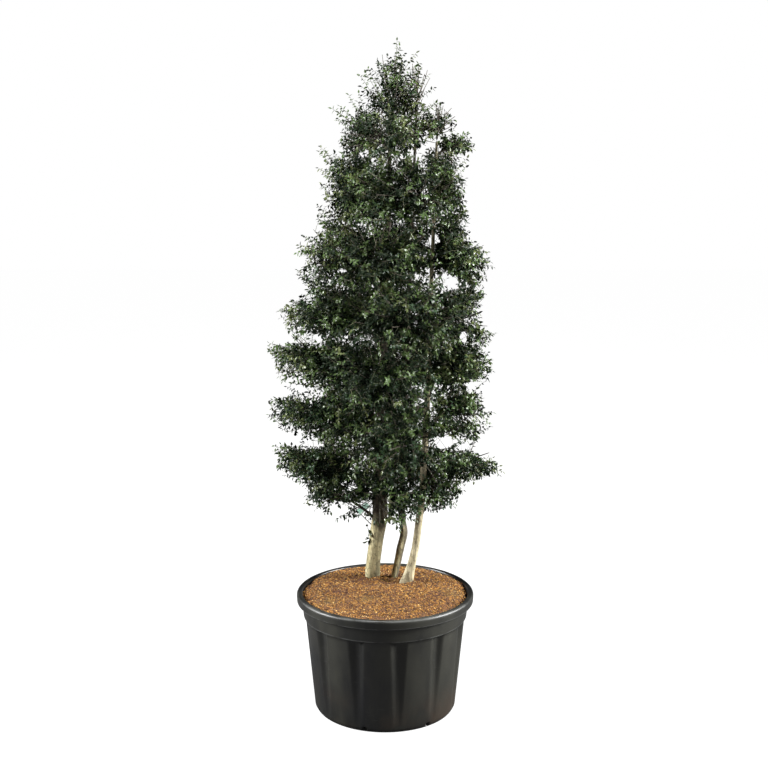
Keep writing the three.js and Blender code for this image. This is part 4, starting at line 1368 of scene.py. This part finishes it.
def edge_tips():
    """Tips of more sprays, at even steps up the left and right edges of the outline."""
    random = np.random.default_rng(EDGE_SEED)
    count = EDGE_SPRAYS["count"]
    tips = []
    for side in (0, 1):
        height = np.linspace(EDGE_SPRAYS["low"], EDGE_SPRAYS["high"], count)
        height += random.normal(0, EDGE_SPRAYS["jitter"], count)
        depth = random.uniform(EDGE_SPRAYS["front"], EDGE_SPRAYS["back"], count)
        tips.append(np.stack([outline_at(height)[side], depth, height], 1))
    return np.concatenate(tips)


def add_sprays():
    """One twig to each spray's tip, from the nearest branch."""
    for k, tip in enumerate(np.concatenate([np.array(SPRAY_TIPS, float), edge_tips()])):
        left, right = outline_at(tip[2])
        tip[0] = np.clip(tip[0], left + SPRAY_INSIDE, right - SPRAY_INSIDE)
        drop = SPRAY_RUN * SPRAY_CLIMB * smooth_step(*SPRAY_CLIMBS, tip[2])
        inner = tip + unit(np.array([*CROWN_AXIS, tip[2] - drop]) - tip) * SPRAY_RUN
        _, owner, share = min(
            (np.linalg.norm(along_branch(space.branch, share) - inner), i, share)
            for i, space in enumerate(spaces) for share in SPRAY_ROOTS
        )
        root = along_branch(spaces[owner].branch, share)
        aim = tip - unit(tip - root) * SPRAY_POINT
        spaces[owner].sprays.append(twig_curve(root, aim, np.random.default_rng(SPRAY_SEED + k)))


LOW_TWIG = np.array([(-46, 136, 790), (-134, 118, 884), (-211, 100, 984)], float)


def low_twig_at(share):
    """Points of the thin bare twig that carries the label."""
    return between(share, (0, 0.5, 1), LOW_TWIG)


add_sprays()
all_twigs = [twig for space in spaces for twig in space.twigs + space.sprays]
all_twigs.append(low_twig_at(np.linspace(0, 1, TWIG_SAMPLES)))
print(len(all_twigs), "twigs with the sprays")

# %% Shoots on the twigs
SHOOT_SPACING = 11
LEAF_LENGTH = 20.5
SHOOT_FIRST = 0.2
SHOOT_LENGTH = {"low": 88, "tip": 60}
SPRAY_SHOOT_LENGTH = {"low": 74, "tip": 36}
SHOOT_LENGTHS = (0.6, 1.3)
END_LENGTHS = (0.7, 1.25)
SHOOT_SPREAD = 0.95
END_SPREAD = 0.12
SPRAY_END_SPREAD = 0.04
SHOOT_JITTER = 0.3
SHOOT_SLANT = 0.01
SHOOT_RISE = 0.5
SHOOT_CROSSING = 14
SHOOT_CLEARANCE = 8
SHOOT_SEED = 500
DEEPEST = 1.06
HOLLOWS = {"size": 165, "seed": 77, "below": -0.36, "from_depth": 0.5}
ANY_TURN = 6.3
TOP_THINS = (2300, 2750)
TOP_OPENNESS = 0.68
FOOT_THINS = (1010, 900)
FOOT_OPENNESS = 0.5
SHOOT_POINTS = 3


def turned(one, other, angle):
    """Directions that lie between one and another, at an angle from the one."""
    return one * np.cos(angle)[:, None] + other * np.sin(angle)[:, None]


def grow_shoots(space, curve, random, is_spray):
    """Shoots along a twig, and one that carries on from its tip: roots, headings and lengths."""
    _, along = run_of(curve)
    length = along[-1]
    count = max(int(length * (1 - SHOOT_FIRST) / SHOOT_SPACING), 2)
    places = np.linspace(SHOOT_FIRST, 1, count) * length
    roots = between(places, along, curve)
    headings = unit(between(places, along, np.gradient(curve, axis=0)))
    side = unit(np.cross(headings, UP + SHOOT_SLANT))
    start = random.uniform(0, ANY_TURN)
    angle = GOLDEN_ANGLE * np.arange(count) + start + random.normal(0, SHOOT_JITTER, count)
    spread = np.full(count, SHOOT_SPREAD)
    spread[-1] = SPRAY_END_SPREAD if is_spray else END_SPREAD
    directions = turned(headings, turned(side, np.cross(side, headings), angle), spread)
    rise = SHOOT_RISE * random.uniform(0, 1, (count, 1))
    rise[-1] *= 0 if is_spray else 1
    directions = unit(directions + UP * rise)
    run = SPRAY_SHOOT_LENGTH if is_spray else SHOOT_LENGTH
    lengths = mix(run["low"], run["tip"], places / length) * random.uniform(*SHOOT_LENGTHS, count)
    lengths[-1] = SPRAY_POINT - LEAF_LENGTH / 2 if is_spray else run["low"] * random.uniform(*END_LENGTHS)
    ends = roots + directions * lengths[:, None]
    depth = space.depth(ends)
    hollow = soft_noise(ends, HOLLOWS["size"], HOLLOWS["seed"]) < HOLLOWS["below"]
    hollow &= depth > HOLLOWS["from_depth"]
    openness = TOP_OPENNESS * smooth_step(*TOP_THINS, ends[:, 2])
    openness += FOOT_OPENNESS * smooth_step(*FOOT_THINS, ends[:, 2])
    sparse = random.uniform(0, 1, count) < openness
    kept = (depth < DEEPEST) & space.owns(ends, -SHOOT_CROSSING) & ~hollow & ~sparse
    if is_spray:
        kept = in_outline(ends, SPRAY_SLACK)
        kept[-1] = True
    else:
        kept &= may_grow(ends, -body_inset(ends)) & may_grow(roots)
    kept &= (room_at(ends, stems.values()) > SHOOT_CLEARANCE) & ~in_window(ends)
    return roots[kept], directions[kept], lengths[kept]


def gather_shoots():
    """The shoots of each twig: roots, directions, lengths, whose they are, and whether on a spray."""
    groups = []
    for i, space in enumerate(spaces):
        random = np.random.default_rng(SHOOT_SEED + i)
        for k, curve in enumerate(space.twigs + space.sprays):
            is_spray = k >= len(space.twigs)
            roots, directions, lengths = grow_shoots(space, curve, random, is_spray)
            count = len(lengths)
            groups.append((roots, directions, lengths, np.full(count, i), np.full(count, is_spray)))
    return groups


shoot_groups = gather_shoots()
print(sum(len(group[0]) for group in shoot_groups), "shoots")

# %% [markdown]
# ### Low sprigs
#
# A few short sprigs grow straight out of the thick stem below the crown, where old buds have
# woken up. They are shoots like the others, only with their own roots.

# %% Sprigs on the thick stem
SPRIGS = [
    {"height": 774, "lean": (-1, -0.6, 0.1), "length": 12},
    {"height": 768, "lean": (-1, -0.5, -0.2), "length": 10},
    {"height": 746, "lean": (-1, -0.5, -0.1), "length": 14},
    {"height": 736, "lean": (-1, -0.4, -0.35), "length": 22},
    {"height": 842, "lean": (0.9, -0.5, 0.3), "length": 44},
    {"height": 862, "lean": (0.5, -0.9, 0.1), "length": 40},
]
SPRIG_SUNK = 0.9


def sprig_shoots():
    """The sprigs as one more group of shoots, counted with the lowest mass and free like a spray."""
    stem = stems["thick"]
    lowest = next(i for i, space in enumerate(spaces) if space.name == "left_1")
    roots, directions, lengths = [], [], []
    for sprig in SPRIGS:
        middle = stem.at_height(sprig["height"])
        radius = np.interp(sprig["height"], stem.points[:, 2], stem.radii)
        lean = unit(sprig["lean"])
        level = unit(lean * (1, 1, 0))
        roots.append(middle + level * radius * SPRIG_SUNK)
        directions.append(lean)
        lengths.append(sprig["length"])
    owners = np.full(len(SPRIGS), lowest)
    free = np.full(len(SPRIGS), True)
    return np.array(roots), np.array(directions), np.array(lengths, float), owners, free


shoot_groups.append(sprig_shoots())
shoot_roots, shoot_directions, shoot_lengths, shoot_owners, shoot_on_spray = (
    np.concatenate(parts) for parts in zip(*shoot_groups)
)
print(len(SPRIGS), "sprigs, and", len(shoot_roots), "shoots with them")

# %% Twigs and shoots as meshes
TWIG_RADII = (2.6, 1.3)
SHOOT_RADII = (1.1, 0.5)
SHOOT_ARCH = 0.10
TUBE_SIDES = 3
TUBE_SLANT = (0.013, 0.021, 0)
TWIG_BROWNS = ((0.03, 0.024, 0.015), (0.06, 0.048, 0.03))
SHOOT_GREENS = ((0.04, 0.046, 0.018), (0.08, 0.08, 0.034))


def shoot_line(roots, directions, lengths, share):
    """Points of many shoots at a share of their lengths: straight at first, then arching over."""
    reach = (lengths * share)[:, None]
    return roots + directions * reach - UP * (SHOOT_ARCH * share ** 2 * lengths)[:, None]


def thin_tubes(name, lines, radii):
    """Three-sided tubes round many lines of the same number of points."""
    count, steps, _ = lines.shape
    along = unit(lines[:, -1] - lines[:, 0])
    across = unit(np.cross(along, UP + TUBE_SLANT))
    around = spokes(across, np.cross(along, across), TUBE_SIDES)
    points = lines[:, :, None, :] + around[:, None, :, :] * radii[None, :, None, None]
    faces = grid_faces(steps, TUBE_SIDES)[None] + (np.arange(count) * steps * TUBE_SIDES)[:, None, None]
    return mesh_of(name, points.reshape(-1, 3), faces.reshape(-1, 4))


def make_twig_finish(name, old, young):
    finish = Finish(name, roughness=0.7)
    finish.set("Base Color", finish.mixed(finish.patches(scale=40, low=0.35, high=0.65), old, young))
    return finish.material


shoot_shares = np.linspace(0, 1, SHOOT_POINTS)
shoot_lines = np.stack([shoot_line(shoot_roots, shoot_directions, shoot_lengths, s) for s in shoot_shares], 1)
add_piece(
    "twigs",
    thin_tubes("twigs", np.array(all_twigs), np.linspace(*TWIG_RADII, TWIG_SAMPLES)),
    make_twig_finish("twig_bark", *TWIG_BROWNS),
)
add_piece(
    "shoots",
    thin_tubes("shoots", shoot_lines, np.linspace(*SHOOT_RADII, SHOOT_POINTS)),
    make_twig_finish("green_shoot", *SHOOT_GREENS),
)

# %% [markdown]
# ### One leaf
#
# The leaf is small and stiff: broad at its shoulders with a spine on each, waisted, broad again,
# and drawn out into a point that hooks down. Eight triangles are enough for that outline,
# its raised midrib and its arched back. The shape is written once, in shares of the leaf's length.

# %% The leaf's shape
LEAF_HALF = [(0.22, 0.30), (0.38, 0.24), (0.56, 0.28)]
MIDRIB = [0.0, 0.45, 1.0]
LEAF_RISE = 0.2
LEAF_HOOK = 0.7
LEAF_EDGE_DROP = 0.38


def leaf_template():
    """The leaf's points as shares along, across and above, and its triangles."""
    def arched(t):
        return LEAF_RISE * t - LEAF_HOOK * t ** 2

    rib = [(t, 0.0, arched(t)) for t in MIDRIB]
    edges = []
    for hand in (1, -1):
        edges += [(t, hand * w, arched(t) - LEAF_EDGE_DROP * w) for t, w in LEAF_HALF]
    base, crest, tip = range(3)
    faces = []
    for first, flipped in ((3, False), (6, True)):
        rim = [base, first, first + 1, first + 2, tip]
        half = [(a, crest, b) for a, b in zip(rim, rim[1:])]
        faces += [face[::-1] if flipped else face for face in half]
    return np.array(rib + edges), np.array(faces)


leaf_points, leaf_faces = leaf_template()
print("a leaf has", len(leaf_points), "points and", len(leaf_faces), "triangles")

# %% Leaves along the shoots
LEAF_SPACING = 7.5
LEAF_FIRST = 0.12
LEAVES_PER_SHOOT = (3, 14)
LEAF_OUT = 0.8
LEAF_AHEAD = 0.62
LAST_LEAF_OUT = 0.15
LEAF_DROOP = 0.22
LEAF_DROOPS = (0.2, 1.8)
LEAF_JITTER = 0.25
LEAF_SLANT = (0.017, 0.011, 0)
NEAR_TIP = 0.8
LEAF_FACING = {"ahead": 0.5, "up": 0.6, "outward": 0.25, "stray": 0.4}
LEAF_SIZES = (0.78, 1.16)
LEAF_TAPER = 0.22
LEAF_CLEARANCE = 2
LEAF_SEED = 9


def grow_leaves():
    """For each leaf: its root, its heading, the way it faces, its length and its shoot."""
    random = np.random.default_rng(LEAF_SEED)
    counts = np.clip((shoot_lengths * (1 - LEAF_FIRST) / LEAF_SPACING).astype(int), *LEAVES_PER_SHOOT)
    shoot = np.repeat(np.arange(len(counts)), counts)
    order = np.concatenate([np.arange(n) for n in counts])
    share = LEAF_FIRST + (1 - LEAF_FIRST) * (order + 1) / counts[shoot]
    last = order == counts[shoot] - 1
    directions, lengths = shoot_directions[shoot], shoot_lengths[shoot]
    roots = shoot_line(shoot_roots[shoot], directions, lengths, share)
    side = unit(np.cross(directions, UP + LEAF_SLANT))
    start = random.uniform(0, ANY_TURN, len(counts))[shoot]
    angle = GOLDEN_ANGLE * order + start + random.normal(0, LEAF_JITTER, len(order))
    radial = turned(side, np.cross(side, directions), angle)
    out = np.where(last, LAST_LEAF_OUT, LEAF_OUT)[:, None]
    ahead = np.where(last, 1.0, LEAF_AHEAD)[:, None]
    droop = (LEAF_DROOP * random.uniform(*LEAF_DROOPS, len(order)))[:, None]
    headings = unit(directions * ahead + radial * out - UP * droop)
    outward = unit((roots - [*CROWN_AXIS, 0]) * (1, 1, 0))
    facing = directions * LEAF_FACING["ahead"] + UP * LEAF_FACING["up"] + outward * LEAF_FACING["outward"]
    facing = facing + random.normal(0, LEAF_FACING["stray"], (len(order), 3))
    facing = unit(facing - headings * (facing * headings).sum(1, keepdims=True))
    sizes = LEAF_LENGTH * random.uniform(*LEAF_SIZES, len(order)) * (1 - LEAF_TAPER * share)
    return roots, headings, facing, sizes, shoot


def leaves_clear():
    """Whether each leaf is clear of the stems and of the windows, and inside the outline or on a spray."""
    tips = leaf_roots + leaf_headings * leaf_sizes[:, None]
    middles = mix(leaf_roots, tips, 0.5)
    clear = room_at(tips, stems.values()) > LEAF_CLEARANCE
    clear &= room_at(middles, stems.values()) > LEAF_CLEARANCE
    clear &= may_grow(mix(leaf_roots, tips, NEAR_TIP), OUTLINE_SLACK) | shoot_on_spray[leaf_shoot]
    return clear & ~in_window(middles)


leaf_roots, leaf_headings, leaf_facing, leaf_sizes, leaf_shoot = grow_leaves()
clear = leaves_clear()
print(len(leaf_roots), "leaves,", int((~clear).sum()), "left out beside the stems or past the outline")

# %% [markdown]
# ### Greens dealt out by spray
#
# The colours follow where a spray sits. Young sprays at the tips and near the top are olive to
# yellow-green, the broad middle is a strong dark green, and the sheltered foot of the crown is
# deeper and bluer. Shoots deep inside a mass mostly take a near-black green, which is painted
# shade between the leaves. Each shoot takes one of six plain greens for its leaves, by chance but
# with odds set by its height and by how far out it is. All the leaves of one green become four
# meshes, one above the other, so that none of them grows too heavy.

# %% Greens
GREENS = {
    # The near-black green below is painted shade between the leaves, for shoots deep inside a mass.
    "deep": {"colour": (0.003, 0.0085, 0.0018), "gloss": 0.06},
    "blue": {"colour": (0.012, 0.029, 0.010), "gloss": 0.2},
    "green": {"colour": (0.026, 0.047, 0.008), "gloss": 0.26},
    "fresh": {"colour": (0.037, 0.067, 0.015), "gloss": 0.28},
    "olive": {"colour": (0.043, 0.056, 0.013), "gloss": 0.3},
    "young": {"colour": (0.056, 0.07, 0.021), "gloss": 0.3},
}
CROWN_FOOT = 870
CROWN_TOP = 2950
GREEN_PATCH = {"size": 420, "seed": 5}
GREEN_SEED = 21
MOTTLED = {"times": 1.6, "plus": 0.002}
UNDERSIDE = {"times": 1.2, "plus": 0.006}
OUTERMOST = 1.2
SUNNY_SIDES = 330
PARTS = {"low": (0, 1300), "middle": (1300, 1750), "upper": (1750, 2200), "top": (2200, 3100)}
FEWEST_LEAVES = 20


def deal_greens():
    """The green of every shoot, by its height and its depth in its space."""
    random = np.random.default_rng(GREEN_SEED)
    ends = shoot_roots + shoot_directions * shoot_lengths[:, None]
    rise = np.clip((ends[:, 2] - CROWN_FOOT) / (CROWN_TOP - CROWN_FOOT), 0, 1)
    outer = np.zeros(len(ends))
    for i, space in enumerate(spaces):
        own = shoot_owners == i
        outer[own] = np.clip(space.depth(ends[own]), 0, OUTERMOST) / OUTERMOST
    patch = soft_noise(ends, GREEN_PATCH["size"], GREEN_PATCH["seed"])
    sunny = np.abs(ends[:, 0]) > SUNNY_SIDES
    warm = smooth_step(-0.5, 0.9, patch + 1.1 * rise - 0.35 + 0.5 * sunny)
    chances = {
        # Shoots deep inside a mass mostly take the near-black green of painted shade.
        "deep": 0.3 + 4.4 * (1 - outer),
        "blue": (1 - warm) * (1 - rise),
        "green": np.full(len(ends), 1.1),
        "fresh": (0.25 + 0.9 * (1 - rise) * smooth_step(0, 0.8, patch)) * outer,
        "olive": 1.4 * warm * outer,
        "young": 0.4 * warm ** 2 * rise * outer ** 2,
    }
    odds = np.stack([chances[name] for name in GREENS], 1)
    bounds = np.cumsum(odds / odds.sum(1, keepdims=True), 1)
    return (random.uniform(0, 1, (len(ends), 1)) > bounds).sum(1)


def make_leaf_finish(name, colour, gloss):
    """A glossy leaf: faint mottling, and a paler underside."""
    finish = Finish(name, roughness=0.34)
    lighter = tuple(c * MOTTLED["times"] + MOTTLED["plus"] for c in colour)
    pale = tuple(c * UNDERSIDE["times"] + UNDERSIDE["plus"] for c in colour)
    top = finish.mixed(finish.patches(scale=60, low=0.35, high=0.7), colour, lighter)
    finish.set("Base Color", finish.mixed(finish.surface("Backfacing"), top, pale))
    finish.set("Roughness", finish.ranged(finish.patches(scale=90, low=0.3, high=0.7), 0.28, 0.5))
    finish.shader.inputs["Specular IOR Level"].default_value = gloss
    return finish.material


def leaf_mesh(name, chosen):
    """All the chosen leaves as one mesh."""
    across = np.cross(leaf_headings[chosen], leaf_facing[chosen])
    basis = np.stack([leaf_headings[chosen], across, leaf_facing[chosen]], 1)
    shaped = np.einsum("pk,nkc->npc", leaf_points, basis) * leaf_sizes[chosen][:, None, None]
    points = leaf_roots[chosen][:, None, :] + shaped
    faces = leaf_faces[None] + (np.arange(len(points)) * len(leaf_points))[:, None, None]
    return mesh_of(name, points.reshape(-1, 3), faces.reshape(-1, 3))


foliage_nodes = [f"foliage_{space.name}" for space in spaces]
greens = deal_greens()
for i, (name, green) in enumerate(GREENS.items()):
    material = make_leaf_finish(f"leaf_{name}", **green)
    for part, (low, high) in PARTS.items():
        piece_name = f"leaves_{name}_{part}"
        placed = (leaf_roots[:, 2] >= low) & (leaf_roots[:, 2] < high)
        chosen = clear & placed & (greens[leaf_shoot] == i)
        if chosen.sum() >= FEWEST_LEAVES:
            add_piece(piece_name, leaf_mesh(piece_name, chosen), material, foliage_nodes)

# %% [markdown]
# ## The label
#
# A blank strip of thin pale green plastic is looped round the thin bare twig on the left of the
# thick stem, with a darker band printed along its middle. It is a curved strip with a real thickness.
# The band follows the strip, so it is painted by the strip's own UV map. The plastic is thin
# enough for the sky behind it to shine through, and a faint glow of its own stands for that.

# %% The label
TAG = {"place": 0.43, "direction": (0.62, -0.15, 0.75), "length": 60, "width": 27, "thickness": 1.0}
TAG_STEPS = 16
TAG_CURL = {"height": 5, "turn": 2.4}
TAG_LOOP = {"from": 200, "to": -90, "points": 13, "clear": 1.6}
TAG_STRIPE = {"half": 0.17, "fade": 0.03, "green": (0.13, 0.28, 0.19)}
TAG_GREENS = ((0.46, 0.66, 0.55), (0.56, 0.74, 0.63))
TAG_GLOW = {"colour": (0.52, 0.78, 0.66, 1), "strength": 0.5}


def tag_line():
    """The strip's middle line, and the twig's: once round it, then straight out with a slight curl."""
    at = low_twig_at(TAG["place"])
    along = unit(LOW_TWIG[1] - LOW_TWIG[0])
    out = np.array(TAG["direction"])
    out = unit(out - along * (along @ out))
    across = np.cross(out, along)
    loop = TWIG_RADII[0] + TAG_LOOP["clear"]
    start, end = math.radians(TAG_LOOP["from"]), math.radians(TAG_LOOP["to"])
    turn = np.linspace(start, end, TAG_LOOP["points"])[:, None]
    ring = at + loop * (out * np.cos(turn) + across * np.sin(turn))
    t = np.linspace(0, 1, TAG_STEPS)[:, None]
    curl = across * TAG_CURL["height"] * np.sin(t * TAG_CURL["turn"])
    strip = at - across * loop + out * TAG["length"] * t + curl
    return np.concatenate([ring[:-1], strip]), along


def make_tag_mesh():
    """The strip as rings of six points, closed at both ends, with a map of its width and length."""
    line, along = tag_line()
    heading = unit(np.gradient(line, axis=0))
    face = np.cross(heading, along)
    half = along * TAG["width"] / 2
    lift = face * TAG["thickness"] / 2
    front = [line + half + lift, line + lift, line - half + lift]
    back = [line - half - lift, line - lift, line + half - lift]
    rings = np.stack(front + back, 1)
    rows, columns, _ = rings.shape
    first_caps = np.array([(0, 1, 4, 5), (1, 2, 3, 4)])
    last_caps = np.array([(1, 0, 5, 4), (2, 1, 4, 3)]) + (rows - 1) * columns
    faces = np.concatenate([grid_faces(rows, columns, flipped=True), first_caps, last_caps])
    mesh = mesh_of("label", rings.reshape(-1, 3), faces)
    across_share = np.tile([0.0, 0.5, 1.0, 1.0, 0.5, 0.0], rows)
    along_share = np.repeat(np.linspace(0, 1, rows), columns)
    corners = np.empty(len(mesh.loops), np.int32)
    mesh.loops.foreach_get("vertex_index", corners)
    uv = mesh.uv_layers.new(name="strip")
    uv.data.foreach_set("uv", np.stack([across_share[corners], along_share[corners]], 1).ravel())
    return mesh


def make_tag_finish():
    finish = Finish("label_plastic", roughness=0.45)
    uv = finish.tree.nodes.new("ShaderNodeUVMap")
    uv.uv_map = "strip"
    width = finish.part_of(uv.outputs["UV"], "X")
    stripe = finish.band(width, 0.5, TAG_STRIPE["half"], TAG_STRIPE["half"] + TAG_STRIPE["fade"])
    worn = finish.mixed(finish.patches(scale=120, low=0.35, high=0.7), *TAG_GREENS)
    finish.set("Base Color", finish.mixed(stripe, worn, TAG_STRIPE["green"]))
    finish.set("Roughness", finish.ranged(finish.patches(scale=60, low=0.3, high=0.7), 0.35, 0.6))
    finish.shader.inputs["Emission Color"].default_value = TAG_GLOW["colour"]
    finish.shader.inputs["Emission Strength"].default_value = TAG_GLOW["strength"]
    return finish.material


add_piece("label", make_tag_mesh(), make_tag_finish(), ["tag"])
